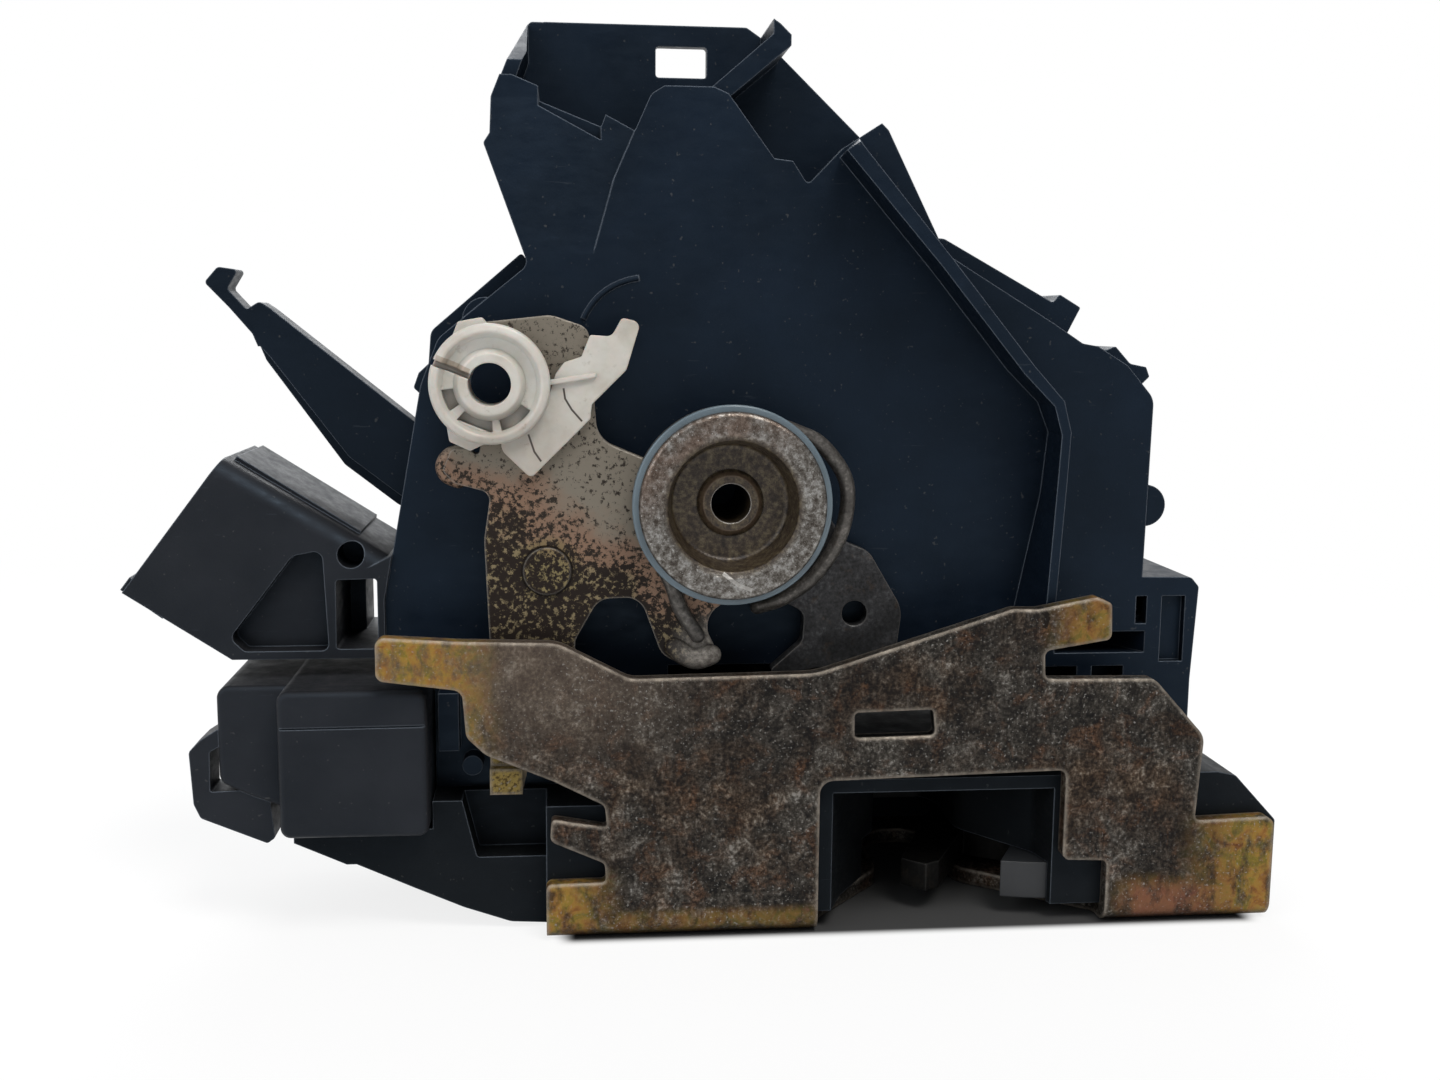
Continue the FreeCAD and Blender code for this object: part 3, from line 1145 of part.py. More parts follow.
def motor_cover():
    """Box that closes the motor's room, with a hanging loop."""
    left, right, low, high = MOTOR_BOX
    near = front_slab([
        (-95.6, low + 0.1, 1.5), (right, low, 1.5), (right, high, 1.5), (-95.6, high, 1.5),
    ], 2.0, 36.0)
    side = front_slab([
        (left, 22.4, 1.8), (-101.0, 20.4, 1.8), (-93.0, 17.2), (-93.0, high - 0.3), (left, high - 0.3, 1.8),
    ], 7.5, 36.0)
    arm = front_slab([
        (-109.1, 26.9, 1), (-107.4, 28.6, 0.6), (-103.0, 31.4), (-103.0, 28.6), (-106.2, 26.8, 0.4),
        (-106.3, 20.9, 0.3), (-98.1, 21.2, 0.3), (-97.4, 13.8, 0.5), (-98.5, 13.0, 0.5), (-107.8, 17.0, 1),
        (-108.7, 19.1, 1),
    ], 8.0, 14.0)
    box = fused([softened(near, 2.0, 1.0), softened(side, 7.5, 0.8), arm])
    seam = front_slab([
        (left - 1, 31.4), (right + 1, 31.6), (right + 1, 31.85), (left - 1, 31.65),
    ], 1.0, 2.25)
    box = box.cut(seam)
    room = rod_x(MOTOR_Y, MOTOR_Z, MOTOR_R + 0.1, MOTOR_LEFT - 0.2, MOTOR_RIGHT + 0.1)
    back = block(MOTOR_LEFT - 0.2, MOTOR_RIGHT + 0.1, MOTOR_Y, 37, MOTOR_Z - 9.5, MOTOR_Z + 9.5)
    room = room.common(block(-120, -60, 0, 60, MOTOR_Z - 9.15, MOTOR_Z + 9.15)).fuse(back)
    box = box.cut(room)
    box = box.cut(rod_x(MOTOR_Y, MOTOR_Z, 3.0, -80, -60))
    return box.removeSplitter()


def lock_lever():
    """Lock lever: hooked arm outside, geared sector inside."""
    low = lock_front()
    high = low + LOCK_THICK
    arm = front_slab([
        (-108.3, 93.7, 0.6), (-106.3, 96.0, 0.8), (-103.3, 95.6, 0.5), (-105.0, 92.8, 0.6),
        (-102.3, 89.8, 0.4), (-100.4, 91.0, 0.8), (-98.9, 90.0), (-77.2, 72.5), (LOCK_X + 3, LOCK_Z + 6, 3),
        (LOCK_X + 6, LOCK_Z, 4), (LOCK_X, LOCK_Z - 6, 3), (-66.0, 56.8, 4), (-80.6, 60.0, 3),
        (-88.8, 66.4, 2), (-100.0, 82.2, 0.6), (-101.6, 86.2, 0.6), (-104.8, 90.0, 1),
    ], low, high)
    edge = front_slab([
        (-100.6, 84.4), (-99.1, 82.7), (-87.9, 67.7, 1.5), (-80.3, 61.8), (-74.0, 58.6),
        (-92.0, 58.6), (-106.0, 82.0),
    ], low - 1, low + 1.8)
    arm = arm.cut(edge)
    teeth = gear_face(SECTOR_TEETH, MODULE, TOOTH_THIN, SECTOR_BEARING + 180.0 / SECTOR_TEETH)
    wheel = Part.Face(gear_wire(teeth, low)).extrude(Y_AXIS * LOCK_THICK)
    wedge = front_slab([
        (0, 4), polar(40, 215.0), polar(46, 249.0), polar(40, 288.0),
    ], low, high)
    sector = wheel.common(wedge)
    sector.translate(FreeCAD.Vector(LOCK_X, 0, LOCK_Z))
    lever = fused([arm, sector])
    return lever.cut(rod_y(LOCK_X, LOCK_Z, LOCK_PIN_R + RUN, 0, 60))


def socket_point(across, inward):
    """Front-plane point from distances across and into the socket."""
    inward_x, inward_z = polar(inward, SOCKET_ANGLE)
    across_x, across_z = polar(across, SOCKET_ANGLE + 90)
    return SOCKET_X + inward_x + across_x, SOCKET_Z + inward_z + across_z


def socket_shell():
    """Outer block of the connector, rounded along its long upper edge."""
    half = SOCKET_WIDE / 2
    shell = front_slab([
        socket_point(half, 0), socket_point(half + 2.4, 27.0), (HOUSE_LEFT + 1.2, 54.6), (HOUSE_LEFT, 48.0),
        (HOUSE_LEFT, 39.4), (-103.4, 39.4), socket_point(-half, 0),
    ], SOCKET_FRONT, SOCKET_BACK)
    start = socket_point(half, 0)
    end = socket_point(half + 2.4, 27.0)
    spot = FreeCAD.Vector((start[0] + end[0]) / 2, SOCKET_FRONT, (start[1] + end[1]) / 2)
    long_edge = [edge for edge in shell.Edges if edge.CenterOfMass.distanceToPoint(spot) < 0.01]
    return shell.makeFillet(SOCKET_ROUND, long_edge)


def connector_housing():
    """Angled socket for the wiring plug."""
    half = SOCKET_WIDE / 2
    lip = front_slab([
        socket_point(1.6 - half, -0.8), socket_point(1.6 - half, 1.5), socket_point(0.6 - half, 6.4),
        socket_point(-0.7 - half, 6.4), socket_point(-0.7 - half, -0.8),
    ], SOCKET_FRONT + 3.0, SOCKET_FRONT + 11.0)
    tower = front_slab([
        socket_point(half - 1.0, 1.0), socket_point(half + 0.8, 1.0), socket_point(half + 2.4, 21.6),
        socket_point(half - 1.0, 23.4),
    ], SOCKET_FRONT + 5.0, SOCKET_BACK)
    body = fused([socket_shell(), lip, tower])
    inner = half - SOCKET_WALL
    room = front_slab([
        socket_point(inner, -2), socket_point(inner, SOCKET_DEEP),
        socket_point(-inner, SOCKET_DEEP), socket_point(-inner, -2),
    ], SOCKET_FRONT + SOCKET_WALL, SOCKET_BACK - SOCKET_WALL)
    hole = rod_y(*socket_point(half - 0.4, 22.6), 1.9, SOCKET_FRONT - 1, SOCKET_FRONT + 6)
    recess = front_slab([
        (-103.6, 42.6, 1.2), (-94.4, 54.6, 1.6), (-90.2, 55.4, 1.2), (-89.6, 40.6, 1.0), (-101.6, 40.6, 1.0),
    ], SOCKET_FRONT - 1, SOCKET_FRONT + 3.4)
    pocket = front_slab([
        (-88.5, 40.8, 0.5), (-88.4, 51.0, 0.5), (HOUSE_LEFT - 1.0, 51.2, 0.5), (HOUSE_LEFT - 1.0, 40.8, 0.5),
    ], SOCKET_FRONT - 1, 27.0)
    slit = block(-86.1, HOUSE_LEFT - 1.0, 20.0, SOCKET_BACK + 1, 40.8, 49.0)
    for space in (room, hole, recess, pocket, slit):
        body = body.cut(space)
    return body


def connector_terminals():
    """Blades standing on the floor of the socket."""
    blades = []
    for row in (-3.0, 3.0):
        for column in range(4):
            y = SOCKET_FRONT + 5.4 + 4.4 * column
            blades.append(front_slab([
                socket_point(row - 0.4, SOCKET_DEEP), socket_point(row + 0.4, SOCKET_DEEP),
                socket_point(row + 0.4, SOCKET_DEEP - BLADE_LONG),
                socket_point(row - 0.4, SOCKET_DEEP - BLADE_LONG),
            ], y - 1.1, y + 1.1))
    return Part.makeCompound(blades)


def nodes():
    """Every sub-part by name."""
    return {
        "end_plate": end_plate(),
        "latch_case": latch_case(),
        "back_plate": back_plate(),
        "mouth_buffer": mouth_buffer(),
        "claw_pin": claw_pin(),
        "pawl_pin": pawl_pin(),
        "claw": claw(),
        "claw_jacket": claw_jacket(),
        "claw_spring": claw_spring(),
        "pawl": pawl(),
        "pawl_lug": pawl_lug(),
        "pawl_spring": pawl_spring(),
        "inside_release_lever": inside_release_lever(),
        "lever_stud": lever_stud(),
        "lock_link": lock_link(),
        "rod_clip": rod_clip(),
        "outside_release_lever": outside_release_lever(),
        "pivot_rivet": pivot_rivet(),
        "cup_washer": cup_washer(),
        "spring_spool": spring_spool(),
        "lever_spacer": lever_spacer(),
        "return_spring": return_spring(),
        "front_housing": front_housing(),
        "rear_cover": rear_cover(),
        "cover_screws": cover_screws(),
        "door_switch": door_switch(),
        "lead_strips": lead_strips(),
        "wheel_axle": wheel_axle(),
        "lock_pin": lock_pin(),
        "worm_wheel": worm_wheel(),
        "motor_worm": motor_worm(),
        "motor_can": motor_can(),
        "motor_end_cap": motor_end_cap(),
        "motor_cover": motor_cover(),
        "lock_lever": lock_lever(),
        "connector_housing": connector_housing(),
        "connector_terminals": connector_terminals(),
    }


os.makedirs("parts", exist_ok=True)
for name, shape in nodes().items():
    shape.exportStep("parts/" + name + ".step")
    print(name, len(shape.Solids), round(shape.Volume, 1), shape.isValid())
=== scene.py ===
import bmesh
import bpy
import math
from mathutils import Matrix, Vector


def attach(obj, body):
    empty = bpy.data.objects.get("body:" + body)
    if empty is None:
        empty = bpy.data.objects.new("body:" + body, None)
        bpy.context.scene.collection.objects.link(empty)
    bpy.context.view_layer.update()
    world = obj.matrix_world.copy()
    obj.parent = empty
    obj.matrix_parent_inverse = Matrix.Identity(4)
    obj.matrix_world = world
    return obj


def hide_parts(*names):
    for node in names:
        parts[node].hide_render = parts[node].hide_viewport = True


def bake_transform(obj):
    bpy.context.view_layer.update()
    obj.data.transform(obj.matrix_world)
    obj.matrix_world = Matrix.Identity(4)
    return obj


# Car door lock, dressed for a studio picture. All lengths are in metres and
# share the frame of the construction model.

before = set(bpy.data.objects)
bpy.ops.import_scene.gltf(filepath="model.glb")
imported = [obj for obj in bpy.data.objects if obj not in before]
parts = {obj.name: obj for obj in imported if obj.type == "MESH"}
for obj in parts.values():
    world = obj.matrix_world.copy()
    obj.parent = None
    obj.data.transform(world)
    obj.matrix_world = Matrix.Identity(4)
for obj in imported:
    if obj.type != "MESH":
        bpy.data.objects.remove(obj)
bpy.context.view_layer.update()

MM = 0.001

# Places on the lock: X and Z in millimetres, the window slot's in metres.
PIVOT = (-32.0, 63.3)
STUD = (-57.8, 53.3)
# The window slot is where shade is painted on the flange.
SLOT_X = -0.0080
SLOT_Z = 0.03135
# Line of painted shade at the foot of the flange's right tab.
CREASE = ((12.6, 48.6), (14.0, 46.9), (13.6, 45.2))
# Line of painted highlight on the cup washer.
TICK = ((-33.4, 54.0), (-31.2, 52.3), (-29.4, 51.7))
CRACKS = (
    ((-55.3, 79.2), (-55.1, 77.8), (-54.2, 76.3), (-52.8, 74.7)),
    ((-60.2, 72.8), (-59.4, 70.4), (-58.5, 69.1)),
)

HOUSING_TINT = (0.0024, 0.0040, 0.0070)
COOL_GLOSS = (0.55, 0.76, 1.0, 1.0)


# ---------------------------------------------------------------- materials

class Look:
    """A procedural material that is put together step by step."""

    def __init__(self, name, metal=0.0, rough=0.5, **sockets):
        self.mat = bpy.data.materials.new(name)
        self.mat.use_nodes = True
        self.tree = self.mat.node_tree
        self.tree.nodes.clear()
        self.out = self.tree.nodes.new("ShaderNodeOutputMaterial")
        self.shader = self.tree.nodes.new("ShaderNodeBsdfPrincipled")
        self.tree.links.new(self.shader.outputs[0], self.out.inputs[0])
        self.shader.inputs["Metallic"].default_value = metal
        self.shader.inputs["Roughness"].default_value = rough
        for socket, value in sockets.items():
            self.shader.inputs[socket.replace("_", " ")].default_value = value
        coords = self.tree.nodes.new("ShaderNodeTexCoord")
        self.place = coords.outputs["Object"]

    def put(self, socket, value):
        """Link or set one input."""
        if hasattr(value, "is_output"):
            self.tree.links.new(value, socket)
        elif isinstance(value, tuple) and len(value) == 3 and socket.type == "RGBA":
            socket.default_value = (*value, 1.0)
        else:
            socket.default_value = value

    def node(self, kind, inputs, output=0, **settings):
        """Add a node with its settings and inputs, and give one output."""
        made = self.tree.nodes.new(kind)
        for key, value in settings.items():
            setattr(made, key, value)
        for key, value in inputs.items():
            self.put(made.inputs[key], value)
        return made.outputs[output]

    def stretch(self, x, y, z):
        """Coordinates scaled along the axes."""
        return self.node("ShaderNodeMapping", {"Vector": self.place, "Scale": (x, y, z)})

    def noise(self, size, detail=4.0, rough=0.55, place=None, twist=0.0):
        """Noise whose features have a size in millimetres."""
        inputs = {
            "Vector": place or self.place, "Scale": 1.0 / (size * MM),
            "Detail": detail, "Roughness": rough, "Distortion": twist,
        }
        return self.node("ShaderNodeTexNoise", inputs)

    def ramp(self, value, stops):
        """Colours or greys along a value."""
        made = self.tree.nodes.new("ShaderNodeValToRGB")
        bar = made.color_ramp
        while len(bar.elements) < len(stops):
            bar.elements.new(0.5)
        for element, (at, colour) in zip(bar.elements, stops):
            element.position = at
            if not isinstance(colour, tuple):
                colour = (colour, colour, colour)
            element.color = (*colour, 1.0)
        self.put(made.inputs[0], value)
        return made.outputs[0]

    def mix(self, amount, a, b, blend="MIX"):
        """Blend of two colours."""
        made = self.tree.nodes.new("ShaderNodeMix")
        made.data_type = "RGBA"
        made.blend_type = blend
        self.put(made.inputs[0], amount)
        self.put(made.inputs[6], a)
        self.put(made.inputs[7], b)
        return made.outputs[2]

    def math(self, kind, a, b=0.0):
        """Sum, product and the like of two values."""
        return self.node("ShaderNodeMath", {0: a, 1: b}, operation=kind)

    def times(self, a, b):
        """Product of two values."""
        return self.math("MULTIPLY", a, b)

    def coat(self, base, mask, share, colour):
        """Colour laid over a base where a mask is 1, thinned by a share."""
        return self.mix(self.times(mask, share), base, colour)

    def reach(self, place, centre):
        """Distance between a place and a centre."""
        return self.node("ShaderNodeVectorMath", {0: place, 1: centre}, output=1, operation="DISTANCE")

    def axis(self, name):
        """One coordinate, in metres."""
        return self.node("ShaderNodeSeparateXYZ", {0: self.place}, output="XYZ".index(name))

    def step(self, value, low, high):
        """0 below one limit, 1 above the other, smooth between."""
        made = self.tree.nodes.new("ShaderNodeMapRange")
        made.interpolation_type = "SMOOTHSTEP"
        self.put(made.inputs[0], value)
        made.inputs[1].default_value = low
        made.inputs[2].default_value = high
        return made.outputs[0]

    def near(self, centre, reach, soft):
        """1 within a reach of a point, fading over a soft distance."""
        return self.step(self.reach(self.place, centre), reach + soft, reach)

    def edges(self, radius):
        """Mask on sharp edges, for edge wear and painted edge highlights, and the rounded normal that
        lights them.
        """
        round_normal = self.node("ShaderNodeBevel", {"Radius": radius * MM}, samples=6)
        flat = self.node("ShaderNodeNewGeometry", {}, output=1)
        pair = {0: round_normal, 1: flat}
        dot = self.node("ShaderNodeVectorMath", pair, output=1, operation="DOT_PRODUCT")
        return self.step(dot, 0.995, 0.80), round_normal

    def hollow(self, reach, start=0.62, full=0.20):
        """1 in tight corners and deep pockets, 0 on open faces, where shade is painted; reach is in
        millimetres.
        """
        inputs = {"Distance": reach * MM}
        open_sky = self.node("ShaderNodeAmbientOcclusion", inputs, output=1, samples=8)
        return self.step(open_sky, start, full)

    def bump(self, height, strength, depth, normal=None):
        """Surface relief; depth is in millimetres."""
        inputs = {"Height": height, "Strength": strength, "Distance": depth * MM}
        if normal is not None:
            inputs["Normal"] = normal
        self.put(self.shader.inputs["Normal"], self.node("ShaderNodeBump", inputs))

    def set(self, name, value):
        """Feed one shader input."""
        self.put(self.shader.inputs[name], value)


def black_plastic(name, tint=HOUSING_TINT, rough=0.42, dust=0.5, gloss=0.18):
    """Moulded black plastic with fine grain, handling marks and a little dust."""
    look = Look(name, rough=rough, Specular_IOR_Level=gloss, Specular_Tint=COOL_GLOSS)
    edge_wear_and_highlight, rounded = look.edges(0.32)
    cloud = look.noise(14.0, 3.0)
    grain = look.noise(0.35, 2.0)
    scuff = look.noise(4.0, 7.0, 0.72, look.stretch(1.0, 1.0, 2.5))
    base = look.mix(look.ramp(cloud, [(0.35, 0.0), (0.7, 1.0)]), tint, tuple(c * 1.6 for c in tint))
    chalk = look.ramp(scuff, [(0.60, 0.0), (0.78, 0.30)])
    base = look.mix(chalk, base, tuple(c * 3.0 for c in tint))
    specks = look.ramp(look.noise(0.7, 1.0), [(0.735, 0.0), (0.775, 1.0)])
    base = look.coat(base, specks, 0.35 * dust, (0.1440, 0.1404, 0.1296))
    along = look.noise(1.6, 3.0, 0.6, look.stretch(0.25, 1.0, 2.6), 0.4)
    scratch = look.ramp(along, [(0.70, 0.0), (0.74, 0.35)])
    base = look.mix(scratch, base, (0.0288, 0.0331, 0.0396))
    # Painted highlight on sharp edges, with a little edge wear.
    base = look.coat(base, edge_wear_and_highlight, 0.75, (0.1260, 0.1440, 0.1692))
    # Painted shade: near black in corners and pockets.
    base = look.coat(base, look.hollow(6.0), 0.85, (0.0010, 0.0012, 0.0015))
    look.set("Base Color", base)
    dull = look.ramp(scuff, [(0.35, rough - 0.08), (0.70, rough + 0.16)])
    look.set("Roughness", dull)
    look.bump(look.math("ADD", grain, look.times(scuff, 0.5)), 0.16, 0.08, rounded)
    return look.mat


def gold_zinc(look, side, tall):
    """Colour and amount of the gold, pink and green film left at the flange's ends."""
    film = look.ramp(look.noise(2.8, 6.0, 0.62, twist=0.7), [
        (0.30, (0.1440, 0.0520, 0.0180)), (0.42, (0.2952, 0.1440, 0.0360)),
        (0.52, (0.3096, 0.1872, 0.0396)), (0.60, (0.1872, 0.1476, 0.0252)),
        (0.70, (0.3096, 0.1332, 0.0612)), (0.80, (0.2592, 0.1800, 0.1080)),
    ])
    patches = look.noise(2.6, 7.0, 0.68, look.stretch(1.0, 1.0, 0.6))
    patchy = look.ramp(patches, [(0.38, 0.15), (0.54, 1.0)])
    left = look.step(side, -0.063, -0.0725)
    tab = look.times(look.step(side, 0.0125, 0.0200), look.step(tall, 0.0385, 0.0425))
    tab = look.times(tab, 0.70)
    edge = look.times(look.step(side, 0.034, 0.0475), look.step(tall, 0.019, 0.014))
    streak = look.times(look.step(side, 0.024, 0.030), look.step(tall, 0.0085, 0.0045))
    foot = look.times(look.step(side, -0.046, -0.0555), look.step(tall, 0.0115, 0.0085))
    rim = look.times(look.step(tall, 0.0050, 0.0030), look.step(side, -0.016, -0.022))
    where = look.math("MAXIMUM", left, tab)
    for other in (edge, foot, look.times(streak, 0.8), look.times(rim, 0.45)):
        where = look.math("MAXIMUM", where, other)
    pink = look.times(streak, look.step(side, 0.046, 0.036))
    film = look.coat(film, pink, 0.8, (0.2160, 0.0792, 0.0540))
    return film, look.times(where, patchy)


def worn_zinc(name, ends=False, gold=0.0):
    """Passivated steel, stained brown and grey, with gold and pink left at the ends."""
    look = Look(name, metal=0.6, rough=0.5, Specular_IOR_Level=0.15)
    edge_wear_and_highlight, rounded = look.edges(1.20)
    side = look.axis("X")
    tall = look.axis("Z")
    broad = look.noise(13.0, 5.0, 0.62, twist=0.4)
    stain = look.noise(2.2, 8.0, 0.72, twist=0.3)
    fine = look.noise(0.55, 4.0, 0.70)
    patch = look.noise(5.5, 5.0, 0.62, look.stretch(1.0, 1.0, 0.8), 0.9)
    tone = look.math("ADD", look.times(stain, 0.35), look.times(fine, 0.35))
    tone = look.math("ADD", tone, look.times(patch, 0.30))
    brown = look.ramp(tone, [
        (0.41, (0.0050, 0.0032, 0.0022)), (0.46, (0.0158, 0.0094, 0.0058)),
        (0.505, (0.0432, 0.0274, 0.0173)),
        (0.55, (0.1080, 0.0749, 0.0504)), (0.60, (0.2592, 0.2160, 0.1692)),
    ])
    grey = look.ramp(tone, [
        (0.41, (0.0045, 0.0040, 0.0036)), (0.46, (0.0151, 0.0130, 0.0108)),
        (0.51, (0.0396, 0.0346, 0.0288)),
        (0.56, (0.1008, 0.0914, 0.0792)), (0.61, (0.2880, 0.2736, 0.2520)),
    ])
    base = look.mix(look.ramp(broad, [(0.36, 0.0), (0.54, 1.0)]), brown, grey)
    grime = look.ramp(look.noise(24.0, 4.0, 0.6, twist=0.6), [(0.42, 0.0), (0.60, 0.55)])
    soil = look.ramp(tone, [(0.44, (0.0040, 0.0036, 0.0033)), (0.60, (0.0504, 0.0432, 0.0367))])
    base = look.mix(grime, base, soil)
    rusty = look.ramp(look.noise(5.0, 8.0, 0.68, twist=0.8), [(0.52, 0.0), (0.66, 0.45)])
    rust = look.ramp(fine, [(0.42, (0.0324, 0.0130, 0.0058)), (0.60, (0.1872, 0.0864, 0.0410))])
    base = look.mix(rusty, base, rust)
    pale = look.times(look.step(side, -0.030, -0.056), look.step(tall, 0.020, 0.040))
    sand = look.ramp(tone, [
        (0.40, (0.0504, 0.0360, 0.0274)), (0.52, (0.1080, 0.0835, 0.0648)),
        (0.64, (0.2160, 0.1800, 0.1440)),
    ])
    base = look.coat(base, pale, 0.85, sand)
    if ends:
        film, where = gold_zinc(look, side, tall)
        base = look.mix(where, base, film)
        # Painted shade: a dark line along the crease at the foot of the flange's right tab.
        base = look.coat(base, line_mask(look, CREASE, 0.35), 0.85, (0.0050, 0.0040, 0.0035))
    if gold:
        pits = look.ramp(look.noise(0.7, 4.0, 0.7), [(0.44, gold), (0.52, 0.0)])
        base = look.mix(gold, base, (0.3024, 0.2160, 0.0612))
        base = look.mix(pits, base, (0.0504, 0.0302, 0.0101))
    salt = look.ramp(look.noise(0.45, 2.0, 0.5), [(0.62, 0.0), (0.68, 1.0)])
    salt = look.times(salt, look.ramp(broad, [(0.40, 0.05), (0.60, 0.60)]))
    base = look.mix(salt, base, (0.3456, 0.3312, 0.3096))
    # Painted shade: the walls inside the window slot are made near black.
    across = look.math("ABSOLUTE", look.math("SUBTRACT", side, SLOT_X))
    upward = look.math("ABSOLUTE", look.math("SUBTRACT", tall, SLOT_Z))
    slot = look.times(look.step(across, 0.0066, 0.0063), look.step(upward, 0.0026, 0.0023))
    slot = look.times(slot, look.step(look.axis("Y"), 0.0002, 0.0008))
    # Painted shade, with some grime, in corners and pockets.
    base = look.coat(base, look.hollow(4.0), 0.7, (0.0060, 0.0045, 0.0035))
    base = look.mix(0.14, base, (0.0020, 0.0018, 0.0016))
    base = look.mix(slot, base, (0.0025, 0.0025, 0.0028))
    # Painted highlight along the rounded edges, with some edge wear.
    lit = look.times(edge_wear_and_highlight, look.ramp(stain, [(0.35, 0.35), (0.60, 0.95)]))
    base = look.mix(lit, base, (0.3384, 0.2952, 0.2448))
    look.set("Base Color", base)
    look.set("Metallic", look.ramp(tone, [(0.42, 0.20), (0.58, 0.75)]))
    look.set("Roughness", look.ramp(fine, [(0.32, 0.66), (0.66, 0.36)]))
    relief = look.math("ADD", look.times(fine, 0.7), look.times(stain, 1.2))
    look.bump(relief, 0.75, 0.14, rounded)
    return look.mat


def ring_mask(look, x, z, radius, half, soft=0.12):
    """1 on a circle round an axis along Y, given in millimetres."""
    flat = look.node("ShaderNodeCombineXYZ", {0: look.axis("X"), 1: 0.0, 2: look.axis("Z")})
    centre = (x * MM, 0.0, z * MM)
    reach = look.reach(flat, centre)
    gap = look.math("ABSOLUTE", look.math("SUBTRACT", reach, radius * MM))
    return look.step(gap, (half + soft) * MM, half * MM), reach


def inside_steel(name):
    """Beige film broken by dark pits at the top, dark brown with beige specks at the foot."""
    look = Look(name, metal=0.55, rough=0.5, Specular_IOR_Level=0.15)
    edge_wear_and_highlight, rounded = look.edges(0.50)
    side = look.axis("X")
    tall = look.axis("Z")
    slope = look.math("ADD", look.times(side, 0.5), tall)
    drift = look.times(look.math("SUBTRACT", look.noise(8.0, 5.0), 0.5), 0.018)
    place = look.math("ADD", slope, drift)
    light = look.step(place, 0.0235, 0.0370)
    fine = look.noise(0.80, 6.0, 0.74)
    lean = look.times(look.math("SUBTRACT", light, 0.45), 0.13)
    mask = look.step(look.math("ADD", fine, lean), 0.475, 0.530)
    beige = look.mix(light, (0.1980, 0.1570, 0.0900), (0.1800, 0.1584, 0.1278))
    band = look.times(look.step(place, 0.0245, 0.0285), look.step(place, 0.0370, 0.0315))
    beige = look.coat(beige, band, 0.70, (0.2052, 0.1152, 0.0792))
    dark = look.mix(light, (0.0115, 0.0072, 0.0050), (0.0216, 0.0166, 0.0122))
    base = look.mix(mask, dark, beige)
    groove, reach = ring_mask(look, *STUD, 3.5, 0.10)
    halo = look.step(reach, 0.0056, 0.0038)
    halo = look.times(halo, look.times(mask, 0.6))
    base = look.mix(halo, base, (0.1728, 0.1404, 0.0612))
    base = look.coat(base, groove, 0.85, (0.0101, 0.0072, 0.0058))
    # Darker towards the bottom of the lever.
    lower_dark = look.step(tall, 0.0470, 0.0330)
    base = look.coat(base, lower_dark, 0.88, (0.0115, 0.0115, 0.0130))
    bare = look.near((-0.0345, 0.005, 0.0415), 0.0022, 0.0045)
    rubbed = look.ramp(fine, [(0.40, (0.1152, 0.1008, 0.0864)), (0.62, (0.3024, 0.2808, 0.2520))])
    base = look.coat(base, bare, 0.80, rubbed)
    # Painted highlight on the edges, with some edge wear.
    base = look.coat(base, edge_wear_and_highlight, 0.65, (0.2592, 0.2412, 0.2160))
    look.set("Base Color", base)
    look.set("Metallic", look.times(mask, 0.55))
    look.set("Roughness", look.ramp(fine, [(0.3, 0.60), (0.7, 0.40)]))
    relief = look.math("SUBTRACT", fine, look.times(groove, 1.5))
    look.bump(relief, 0.55, 0.10, rounded)
    return look.mat


def dark_steel(name, colour=(0.0360, 0.0360, 0.0374), rust=0.35, rough=0.5, lit=0.5):
    """Stamped steel gone dull grey, with small brown spots."""
    look = Look(name, metal=0.6, rough=rough, Specular_IOR_Level=0.2)
    edge_wear_and_highlight, rounded = look.edges(0.45)
    film = look.noise(5.0, 7.0, 0.68, twist=0.3)
    fine = look.noise(0.6, 3.0, 0.65)
    tone = look.math("ADD", look.times(film, 0.55), look.times(fine, 0.45))
    low = tuple(c * 0.45 for c in colour)
    high = tuple(c * 2.4 for c in colour)
    base = look.ramp(tone, [(0.38, low), (0.52, colour), (0.66, high)])
    spots = look.ramp(look.noise(2.2, 6.0, 0.7), [(0.56, 0.0), (0.68, rust)])
    base = look.mix(spots, base, (0.0756, 0.0490, 0.0288))
    # Painted highlight on the edges, with some edge wear; lit sets its strength.
    base = look.coat(base, edge_wear_and_highlight, lit, (0.1728, 0.1670, 0.1584))
    # Painted shade, with some grime, in corners and pockets.
    base = look.coat(base, look.hollow(4.0), 0.7, (0.0030, 0.0028, 0.0026))
    look.set("Base Color", base)
    look.set("Roughness", look.ramp(fine, [(0.3, rough + 0.12), (0.7, rough - 0.08)]))
    look.bump(fine, 0.35, 0.08, rounded)
    return look.mat


def bright_steel(name, tone=0.25, rough=0.36):
    """Plain zinc-plated steel with soft streaks."""
    look = Look(name, metal=0.9, rough=rough)
    edge_wear_and_highlight, rounded = look.edges(0.3)
    cloud = look.noise(2.5, 6.0, 0.6)
    base = look.ramp(cloud, [
        (0.30, (tone * 0.50, tone * 0.46, tone * 0.41)), (0.62, (tone, tone * 0.97, tone * 0.92)),
    ])
    # Painted highlight on the edges, with some edge wear.
    base = look.coat(base, edge_wear_and_highlight, 0.4, (tone * 1.5, tone * 1.46, tone * 1.40))
    look.set("Base Color", base)
    look.set("Roughness", look.ramp(cloud, [(0.3, rough + 0.16), (0.7, rough - 0.04)]))
    look.bump(look.noise(0.4, 3.0), 0.18, 0.05, rounded)
    return look.mat


